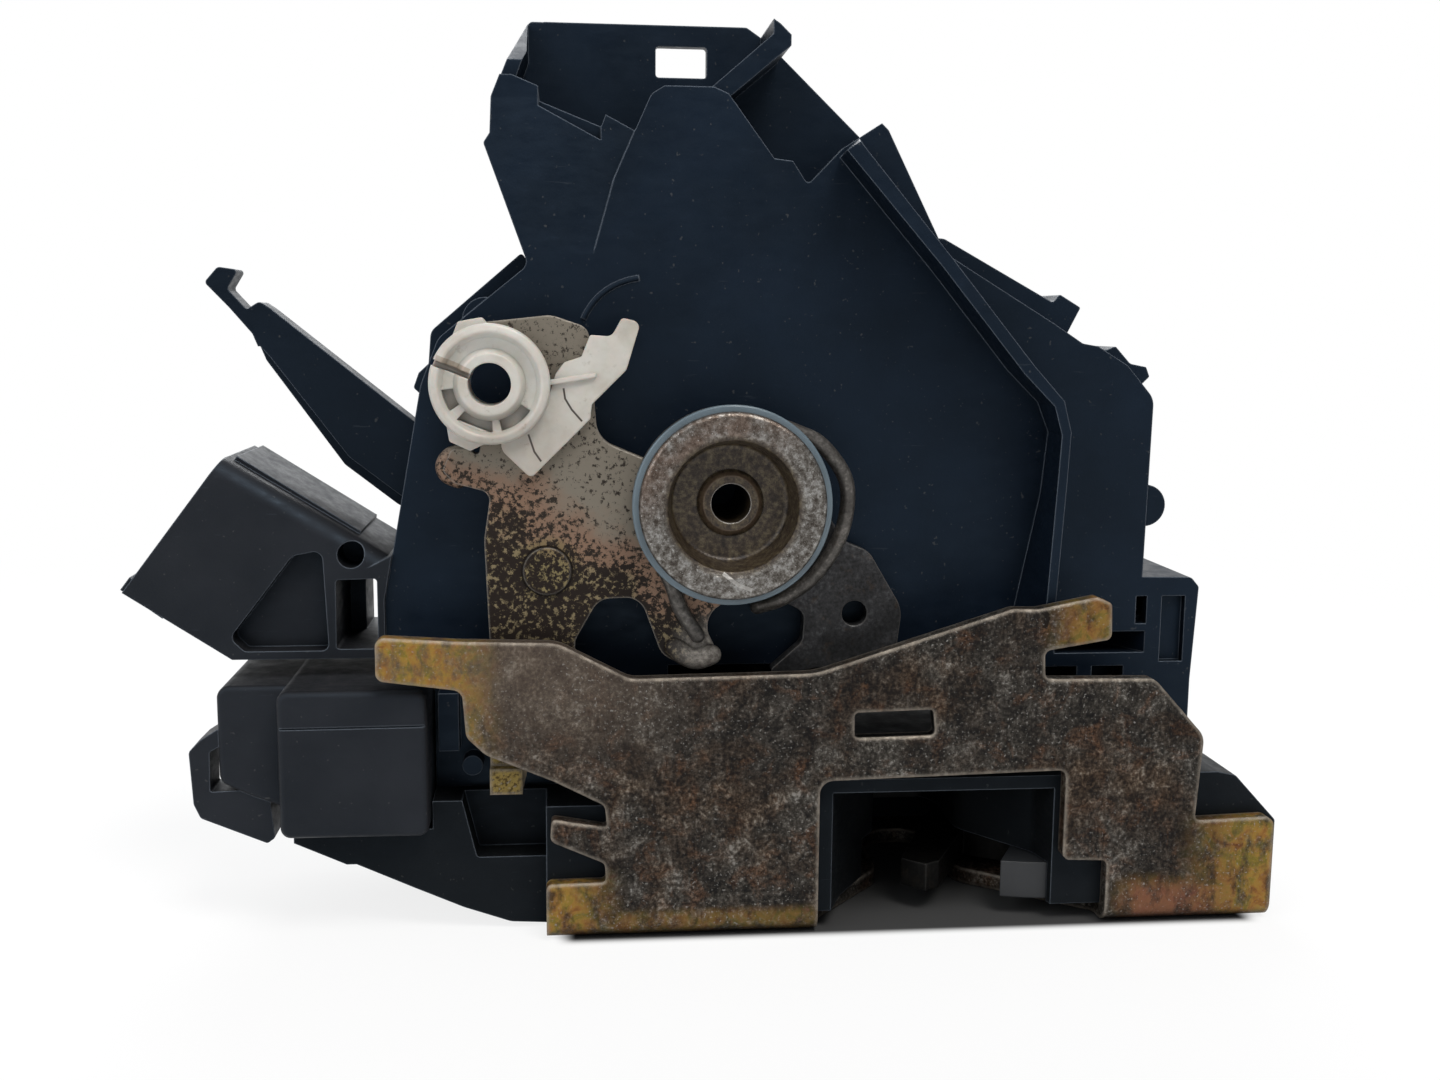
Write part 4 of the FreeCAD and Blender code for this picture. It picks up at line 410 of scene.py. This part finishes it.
def washer_steel(name):
    """Cup washer: bright on the flange, rusty brown down in the cup."""
    look = Look(name, metal=0.85, rough=0.4)
    edge_wear_and_highlight, rounded = look.edges(0.3)
    mark, reach = ring_mask(look, *PIVOT, 4.1, 0.25)
    cup = look.step(reach, 0.0102, 0.0092)
    cloud = look.noise(0.9, 7.0, 0.78)
    fine = look.noise(0.38, 3.0, 0.6)
    steel = look.ramp(cloud, [
        (0.38, (0.0504, 0.0418, 0.0346)), (0.50, (0.1440, 0.1325, 0.1188)),
        (0.62, (0.3240, 0.3168, 0.3024)),
    ])
    slope = look.math("SUBTRACT", look.axis("Z"), look.times(look.axis("X"), 0.5))
    high = look.step(slope, 0.0800, 0.0900)
    warm = look.times(high, look.ramp(look.noise(3.0, 5.0, 0.6), [(0.36, 0.15), (0.58, 0.85)]))
    pinkish = look.ramp(cloud, [(0.35, (0.0648, 0.0432, 0.0324)), (0.65, (0.2160, 0.1584, 0.1260))])
    steel = look.mix(warm, steel, pinkish)
    glint = look.ramp(fine, [(0.62, 0.0), (0.70, 0.8)])
    steel = look.mix(glint, steel, (0.4464, 0.4320, 0.4104))
    rust = look.ramp(look.noise(0.9, 7.0, 0.76), [
        (0.36, (0.0079, 0.0050, 0.0036)), (0.48, (0.0324, 0.0216, 0.0130)),
        (0.58, (0.0720, 0.0540, 0.0302)), (0.72, (0.1368, 0.1188, 0.0756)),
    ])
    rust = look.coat(rust, mark, 0.5, (0.1080, 0.0720, 0.0468))
    base = look.mix(cup, steel, rust)
    # Painted highlight along a small raised tick on the washer.
    base = look.coat(base, line_mask(look, TICK, 0.22), 0.45, (0.5400, 0.5256, 0.4968))
    # Painted highlight on the rim edges, with some edge wear.
    base = look.coat(base, edge_wear_and_highlight, 0.75, (0.4680, 0.4536, 0.4248))
    look.set("Base Color", base)
    look.set("Metallic", look.math("SUBTRACT", 0.9, look.times(cup, 0.6)))
    look.set("Roughness", look.ramp(cloud, [(0.3, 0.50), (0.7, 0.26)]))
    look.bump(fine, 0.60, 0.12, rounded)
    return look.mat


def line_mask(look, points, half=0.10):
    """1 along a bent line in the XZ plane, from points in millimetres."""
    total = None
    side = look.axis("X")
    tall = look.axis("Z")
    for (x0, z0), (x1, z1) in zip(points, points[1:]):
        long = math.hypot(x1 - x0, z1 - z0)
        ux, uz = (x1 - x0) / long, (z1 - z0) / long
        dx = look.math("SUBTRACT", side, x0 * MM)
        dz = look.math("SUBTRACT", tall, z0 * MM)
        along = look.math("ADD", look.times(dx, ux), look.times(dz, uz))
        off = look.math("SUBTRACT", look.times(dx, uz), look.times(dz, ux))
        begun = look.step(along, -0.0001, 0.0)
        inside = look.times(begun, look.step(along, (long + 0.1) * MM, long * MM))
        thin = look.step(look.math("ABSOLUTE", off), (half + 0.08) * MM, half * MM)
        piece = look.times(inside, thin)
        total = piece if total is None else look.math("MAXIMUM", total, piece)
    return total


def clip_plastic(name):
    """Cream plastic gone waxy, with two hair cracks, stains in its pockets and shade painted into its
    corners and pockets.
    """
    look = Look(name, rough=0.38, Subsurface_Weight=0.25, Subsurface_Scale=0.0015)
    rounded = look.edges(0.35)[1]
    cloud = look.noise(7.0, 5.0, 0.6)
    base = look.ramp(cloud, [
        (0.32, (0.3600, 0.3348, 0.2880)), (0.50, (0.4464, 0.4248, 0.3816)),
        (0.68, (0.5040, 0.4896, 0.4536)),
    ])
    low = look.step(look.axis("Z"), 0.082, 0.066)
    base = look.coat(base, low, 0.55, (0.2880, 0.2520, 0.2160))
    dirt = look.ramp(look.noise(1.6, 6.0, 0.72), [(0.60, 0.0), (0.72, 0.45)])
    base = look.mix(dirt, base, (0.1656, 0.1296, 0.0936))
    stain = line_mask(look, ((-72.6, 83.3), (-68.2, 81.4)), 0.5)
    base = look.coat(base, stain, 0.55, (0.1872, 0.1224, 0.0684))
    for crack in CRACKS:
        base = look.mix(line_mask(look, crack), base, (0.0432, 0.0324, 0.0252))
    # Painted shade, with some grime, in the clip's pockets and corners.
    base = look.coat(base, look.hollow(3.0), 0.55, (0.1224, 0.1008, 0.0792))
    look.set("Base Color", base)
    look.bump(look.noise(0.5, 2.0), 0.10, 0.05, rounded)
    return look.mat


def soft_plastic(name, colour, rough=0.42, through=0.0, grime=0.25):
    """Light moulded plastic with a waxy face and patchy grime."""
    look = Look(name, rough=rough, Subsurface_Weight=through, Subsurface_Scale=0.002)
    rounded = look.edges(0.3)[1]
    cloud = look.noise(6.0, 4.0)
    dirty = tuple(c * (1.0 - grime) for c in colour)
    base = look.mix(look.ramp(cloud, [(0.35, 0.0), (0.65, 1.0)]), dirty, colour)
    spots = look.ramp(look.noise(1.2, 5.0, 0.7), [(0.62, 0.0), (0.74, grime)])
    base = look.mix(spots, base, tuple(c * 0.55 for c in colour))
    look.set("Base Color", base)
    look.bump(look.noise(0.5, 2.0), 0.10, 0.05, rounded)
    return look.mat


def rubber(name):
    """Matte black rubber."""
    look = Look(name, rough=0.8)
    look.set("Base Color", look.ramp(look.noise(3.0), [(0.3, 0.0058), (0.7, 0.0144)]))
    look.bump(look.noise(0.3), 0.2, 0.05)
    return look.mat


def brass(name):
    """Tinned brass."""
    look = Look(name, metal=1.0, rough=0.3)
    metal = look.ramp(look.noise(2.0), [(0.3, (0.2880, 0.2088, 0.0864)), (0.7, (0.4464, 0.3600, 0.1872))])
    look.set("Base Color", metal)
    look.set("Roughness", look.ramp(look.noise(0.8), [(0.3, 0.4), (0.7, 0.24)]))
    return look.mat


looks = {
    "housing": black_plastic("housing_black"),
    "housing_cool": black_plastic("housing_cool", (0.0027, 0.0050, 0.0094), 0.42, gloss=0.20),
    "housing_warm": black_plastic("housing_warm", (0.0090, 0.0090, 0.0101), 0.48),
    "flange": worn_zinc("flange_zinc", ends=True),
    "inner": inside_steel("inside_lever_steel"),
    "outer": dark_steel("outside_lever_steel"),
    "greased": dark_steel("greased_steel", (0.0040, 0.0038, 0.0035), 0.1, 0.48, 0.12),
    "case": black_plastic("case_black", (0.0040, 0.0043, 0.0046), 0.5, 0.3, 0.12),
    "zinc": bright_steel("zinc_steel"),
    "wire": dark_steel("spring_wire", (0.0972, 0.0900, 0.0828), 0.25, 0.36),
    "washer": washer_steel("washer_steel"),
    "gold": worn_zinc("gold_zinc", gold=0.85),
    "cream": clip_plastic("cream_plastic"),
    "spool": soft_plastic("spool_plastic", (0.1010, 0.1370, 0.1620), 0.34, 0.0, 0.2),
    "grey": soft_plastic("grey_plastic", (0.0150, 0.0165, 0.0190), 0.5, 0.0, 0.3),
    "gear": soft_plastic("gear_plastic", (0.3960, 0.3816, 0.3384), 0.4, 0.2, 0.1),
    "rubber": rubber("buffer_rubber"),
    "brass": brass("tinned_brass"),
}

dress = {
    "end_plate": "flange", "latch_case": "case", "back_plate": "case", "mouth_buffer": "rubber",
    "claw_pin": "zinc", "pawl_pin": "zinc", "claw": "greased", "claw_jacket": "grey",
    "claw_spring": "wire",
    "pawl": "greased", "pawl_lug": "greased", "pawl_spring": "wire", "inside_release_lever": "inner",
    "lever_stud": "inner", "lock_link": "gold", "rod_clip": "cream", "outside_release_lever": "outer",
    "pivot_rivet": "washer", "cup_washer": "washer", "spring_spool": "spool", "lever_spacer": "grey",
    "return_spring": "wire", "front_housing": "housing_cool", "rear_cover": "housing",
    "cover_screws": "zinc", "door_switch": "grey", "lead_strips": "brass", "wheel_axle": "zinc",
    "lock_pin": "zinc", "worm_wheel": "gear", "motor_worm": "brass", "motor_can": "zinc",
    "motor_end_cap": "grey", "motor_cover": "housing_warm", "lock_lever": "housing",
    "connector_housing": "housing_warm", "connector_terminals": "brass",
}

for name, piece in parts.items():
    finish = looks[dress[name]]
    for slot in piece.material_slots:
        slot.material = finish
    if not piece.material_slots:
        piece.data.materials.append(finish)


# ------------------------------------------------------------- formed pieces

WIRE = 1.1
THREAD_HOLES = ((-46.0, 24.0), (40.0, 37.0), (38.5, 10.5))


def around(reach, bearing, depth, centre=PIVOT):
    """Point at a distance and bearing from a centre in the XZ plane, in millimetres."""
    turn = math.radians(bearing)
    return (centre[0] + reach * math.cos(turn), depth, centre[1] + reach * math.sin(turn))


def smooth_path(points, steps):
    """Curve that passes smoothly through the points."""
    knots = [2 * points[0] - points[1]] + points + [2 * points[-1] - points[-2]]
    path = []
    for a, b, c, d in zip(knots, knots[1:], knots[2:], knots[3:]):
        for step in range(steps):
            t = step / steps
            bend = 2 * a - 5 * b + 4 * c - d
            path.append(0.5 * (2 * b + (c - a) * t + bend * t * t + (3 * b - a - 3 * c + d) * t ** 3))
    return path + [points[-1]]


def add_rings(mesh, path, radii, sides, flat=1.0):
    """Rings of vertices along a path, square to it; flat squeezes them along Y."""
    along = (path[1] - path[0]).normalized()
    side = along.orthogonal().normalized()
    rings = []
    for index, place in enumerate(path):
        ahead = path[min(index + 1, len(path) - 1)] - path[max(index - 1, 0)]
        ahead.normalize()
        side = (side - ahead * side.dot(ahead)).normalized()
        other = ahead.cross(side)
        ring = []
        for corner in range(sides):
            turn = 2 * math.pi * corner / sides
            out = (side * math.cos(turn) + other * math.sin(turn)) * radii[index]
            out.y *= flat
            ring.append(mesh.verts.new(place + out))
        rings.append(ring)
    return rings


def tube(name, points, radius, finish, steps=6, sides=16, flat=1.0):
    """Round bar along a smooth path with domed ends, in millimetres."""
    core = smooth_path([Vector(point) * MM for point in points], steps)
    radius *= MM
    first = (core[1] - core[0]).normalized()
    last = (core[-1] - core[-2]).normalized()
    dome = [(math.sin(a), math.cos(a)) for a in (1.45, 1.1, 0.75, 0.4)]
    path = [core[0] - first * radius * out for out, wide in dome] + core
    path += [core[-1] + last * radius * out for out, wide in reversed(dome)]
    radii = [radius * wide for out, wide in dome] + [radius] * len(core)
    radii += [radius * wide for out, wide in reversed(dome)]
    mesh = bmesh.new()
    rings = add_rings(mesh, path, radii, sides, flat)
    for low, high in zip(rings, rings[1:]):
        for corner in range(sides):
            after = (corner + 1) % sides
            mesh.faces.new((low[corner], low[after], high[after], high[corner]))
    mesh.faces.new(rings[0][::-1])
    mesh.faces.new(rings[-1])
    return finished(name, mesh, finish)


def finished(name, mesh, finish):
    """Object from a mesh under construction, smooth and dressed."""
    bmesh.ops.recalc_face_normals(mesh, faces=mesh.faces)
    for face in mesh.faces:
        face.smooth = True
    data = bpy.data.meshes.new(name)
    mesh.to_mesh(data)
    mesh.free()
    data.materials.append(finish)
    made = bpy.data.objects.new(name, data)
    bpy.context.scene.collection.objects.link(made)
    return made


def build_return_spring():
    """Coil round the spool, with one leg on each lever."""
    coil = [around(12.65, 62 + 15 * step, 0.6 + 3.2 * step / 34) for step in range(35)]
    leg = [(-40.2, 3.8, 51.6), (-39.0, 3.8, 48.2), (-36.4, 3.8, 43.9)]
    inner = tube("spring_coil", coil + leg, WIRE, looks["wire"], steps=3)
    arm = [around(12.65, 62, 0.6), around(13.6, 48, 1.2), around(15.4, 31, 2.4), around(17.2, 8, 4.6)]
    arm += [around(17.4, -16, 6.2), around(17.3, -40, 7.2), around(17.2, -60, 8.4)]
    arm += [around(17.3, -73, 10.4)]
    outer = tube("spring_arm", arm, WIRE, looks["wire"])
    for piece in (inner, outer):
        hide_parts("return_spring")
    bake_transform(inner)
    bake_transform(outer)


def build_lever_lips():
    """Rounded, bent-out edges at the inside lever's foot and at its side hook."""
    foot = [(-39.6, 5.0, 41.9), (-38.2, 4.7, 40.9), (-36.3, 4.5, 40.3), (-34.4, 4.6, 40.9)]
    lip = tube("foot_lip", foot, 1.55, looks["inner"], flat=0.75)
    edge = ((-69.4, 70.1), (-71.2, 69.6), (-72.1, 68.2), (-71.6, 66.9), (-70.1, 66.2))
    hook = [(x, 6.26, z) for x, z in edge]
    side = tube("hook_lip", hook, 1.22, looks["inner"])
    for piece in (lip, side):
        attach(piece, "inside_lever")


def build_threads():
    """Cut threads seen as ridges in the three fixing holes."""
    for index, (x, y) in enumerate(THREAD_HOLES):
        turns = []
        for step in range(8 * 12 + 1):
            turn = 2 * math.pi * step / 12
            turns.append((x + 2.5 * math.cos(turn), y + 2.5 * math.sin(turn), 0.4 + step / 12))
        ridge = tube("thread_ridge_" + "abc"[index], turns, 0.28, looks["zinc"], steps=2, sides=6)
        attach(ridge, "case")


build_return_spring()
build_lever_lips()
build_threads()


# ------------------------------------------------------------- room and light

def floor_material():
    """Pale floor, white to the camera and in mirrors, with a shadow painted dark right under the lock."""
    look = Look("floor_white", rough=0.9)
    glow = look.node("ShaderNodeEmission", {"Color": (1.0, 1.0, 1.0), "Strength": 1.0})
    rays = look.tree.nodes.new("ShaderNodeLightPath")
    blend = look.tree.nodes.new("ShaderNodeMixShader")
    side = look.math("ABSOLUTE", look.math("SUBTRACT", look.axis("X"), 0.031))
    deep = look.math("ABSOLUTE", look.math("SUBTRACT", look.axis("Y"), 0.0018))
    # Painted shadow: right under the lock the floor is made near black and its white glow is taken away.
    under = look.times(look.step(side, 0.0535, 0.0500), look.step(deep, 0.0235, 0.0205))
    look.set("Base Color", look.mix(under, (0.80, 0.80, 0.80), (0.03, 0.03, 0.03)))
    far = look.reach(look.place, (0.0, 0.0, 0.0))
    shown = look.math("ADD", 0.82, look.times(look.step(far, 0.10, 0.40), 0.18))
    shown = look.times(shown, look.math("SUBTRACT", 1.0, under))
    mirror = look.math("MAXIMUM", rays.outputs["Is Glossy Ray"], rays.outputs["Is Transmission Ray"])
    seen = look.math("MAXIMUM", rays.outputs["Is Camera Ray"], mirror)
    amount = look.times(seen, shown)
    look.tree.links.new(amount, blend.inputs[0])
    look.tree.links.new(look.shader.outputs[0], blend.inputs[1])
    look.tree.links.new(glow, blend.inputs[2])
    look.tree.links.new(blend.outputs[0], look.out.inputs[0])
    return look.mat


def build_floor():
    """Round floor under the lock."""
    place = (-0.035, 0.02, -0.0002)
    bpy.ops.mesh.primitive_circle_add(vertices=96, radius=6.0, fill_type="NGON", location=place)
    floor = bpy.context.object
    floor.name = "floor"
    floor.data.materials.append(floor_material())


def build_world():
    """Soft room with a white backdrop behind the lock, seen by the camera and in mirrors."""
    world = bpy.data.worlds.new("studio")
    bpy.context.scene.world = world
    world.use_nodes = True
    tree = world.node_tree
    tree.nodes.clear()

    def add(kind, inputs, **settings):
        made = tree.nodes.new(kind)
        for key, value in settings.items():
            setattr(made, key, value)
        for key, value in inputs.items():
            if hasattr(value, "is_output"):
                tree.links.new(value, made.inputs[key])
            else:
                made.inputs[key].default_value = value
        return made

    soft = add("ShaderNodeBackground", {0: (0.93, 0.96, 1.0, 1.0), 1: 0.38})
    white = add("ShaderNodeBackground", {0: (1.0, 1.0, 1.0, 1.0), 1: 1.0})
    rays = add("ShaderNodeLightPath", {}).outputs
    pair = {0: rays["Is Glossy Ray"], 1: rays["Is Transmission Ray"]}
    mirror = add("ShaderNodeMath", pair, operation="MAXIMUM")
    where = add("ShaderNodeSeparateXYZ", {0: add("ShaderNodeTexCoord", {}).outputs["Generated"]})
    behind = add("ShaderNodeMapRange", {0: where.outputs[1], 1: -0.1, 2: 0.5})
    above = add("ShaderNodeMapRange", {0: where.outputs[2], 1: 0.55, 2: 0.95})
    bright = add("ShaderNodeMath", {0: behind.outputs[0], 1: above.outputs[0]}, operation="MAXIMUM")
    mirror = add("ShaderNodeMath", {0: mirror.outputs[0], 1: bright.outputs[0]}, operation="MULTIPLY")
    seen = add("ShaderNodeMath", {0: rays["Is Camera Ray"], 1: mirror.outputs[0]}, operation="MAXIMUM")
    blend = add("ShaderNodeMixShader", {0: seen.outputs[0], 1: soft.outputs[0], 2: white.outputs[0]})
    add("ShaderNodeOutputWorld", {0: blend.outputs[0]})


def lamp(name, place, target, size, power, colour=(1.0, 1.0, 1.0)):
    """Square soft light aimed at a point."""
    data = bpy.data.lights.new(name, "AREA")
    data.shape = "SQUARE"
    data.size = size
    data.energy = power
    data.color = colour
    made = bpy.data.objects.new(name, data)
    bpy.context.scene.collection.objects.link(made)
    made.location = place
    made.rotation_euler = (Vector(target) - Vector(place)).to_track_quat("-Z", "Y").to_euler()
    return made


def build_camera():
    """Camera at the photograph's place: a little left, a little high, close in."""
    data = bpy.data.cameras.new("camera")
    data.sensor_width = 36.0
    data.lens = 37.5
    data.clip_start = 0.01
    made = bpy.data.objects.new("camera", data)
    bpy.context.scene.collection.objects.link(made)
    turn, lift, roll = math.radians(-5.8), math.radians(8.3), math.radians(0.5)
    back = Vector((math.sin(turn) * math.cos(lift), -math.cos(turn) * math.cos(lift), math.sin(lift)))
    flat = (-back).cross(Vector((0, 0, 1))).normalized()
    tall = flat.cross(-back)
    right = flat * math.cos(roll) + tall * math.sin(roll)
    up = tall * math.cos(roll) - flat * math.sin(roll)
    pose = Matrix((right, up, back)).transposed().to_4x4()
    pose.translation = Vector((-0.054644, -0.206737, 0.088643))
    made.matrix_world = pose
    bpy.context.scene.camera = made


build_floor()
build_world()
middle = (-0.03, 0.02, 0.06)
lamp("key", (0.20, -0.50, 0.95), middle, 0.45, 9.0, (1.0, 0.98, 0.95))
lamp("fill", (-0.80, -0.55, 0.55), middle, 0.7, 4.5, (0.94, 0.97, 1.0))
lamp("rim", (-0.10, 0.75, 0.70), middle, 0.6, 6.0)
build_camera()
bpy.context.scene.view_settings.view_transform = "Standard"

bpy.context.view_layer.update()
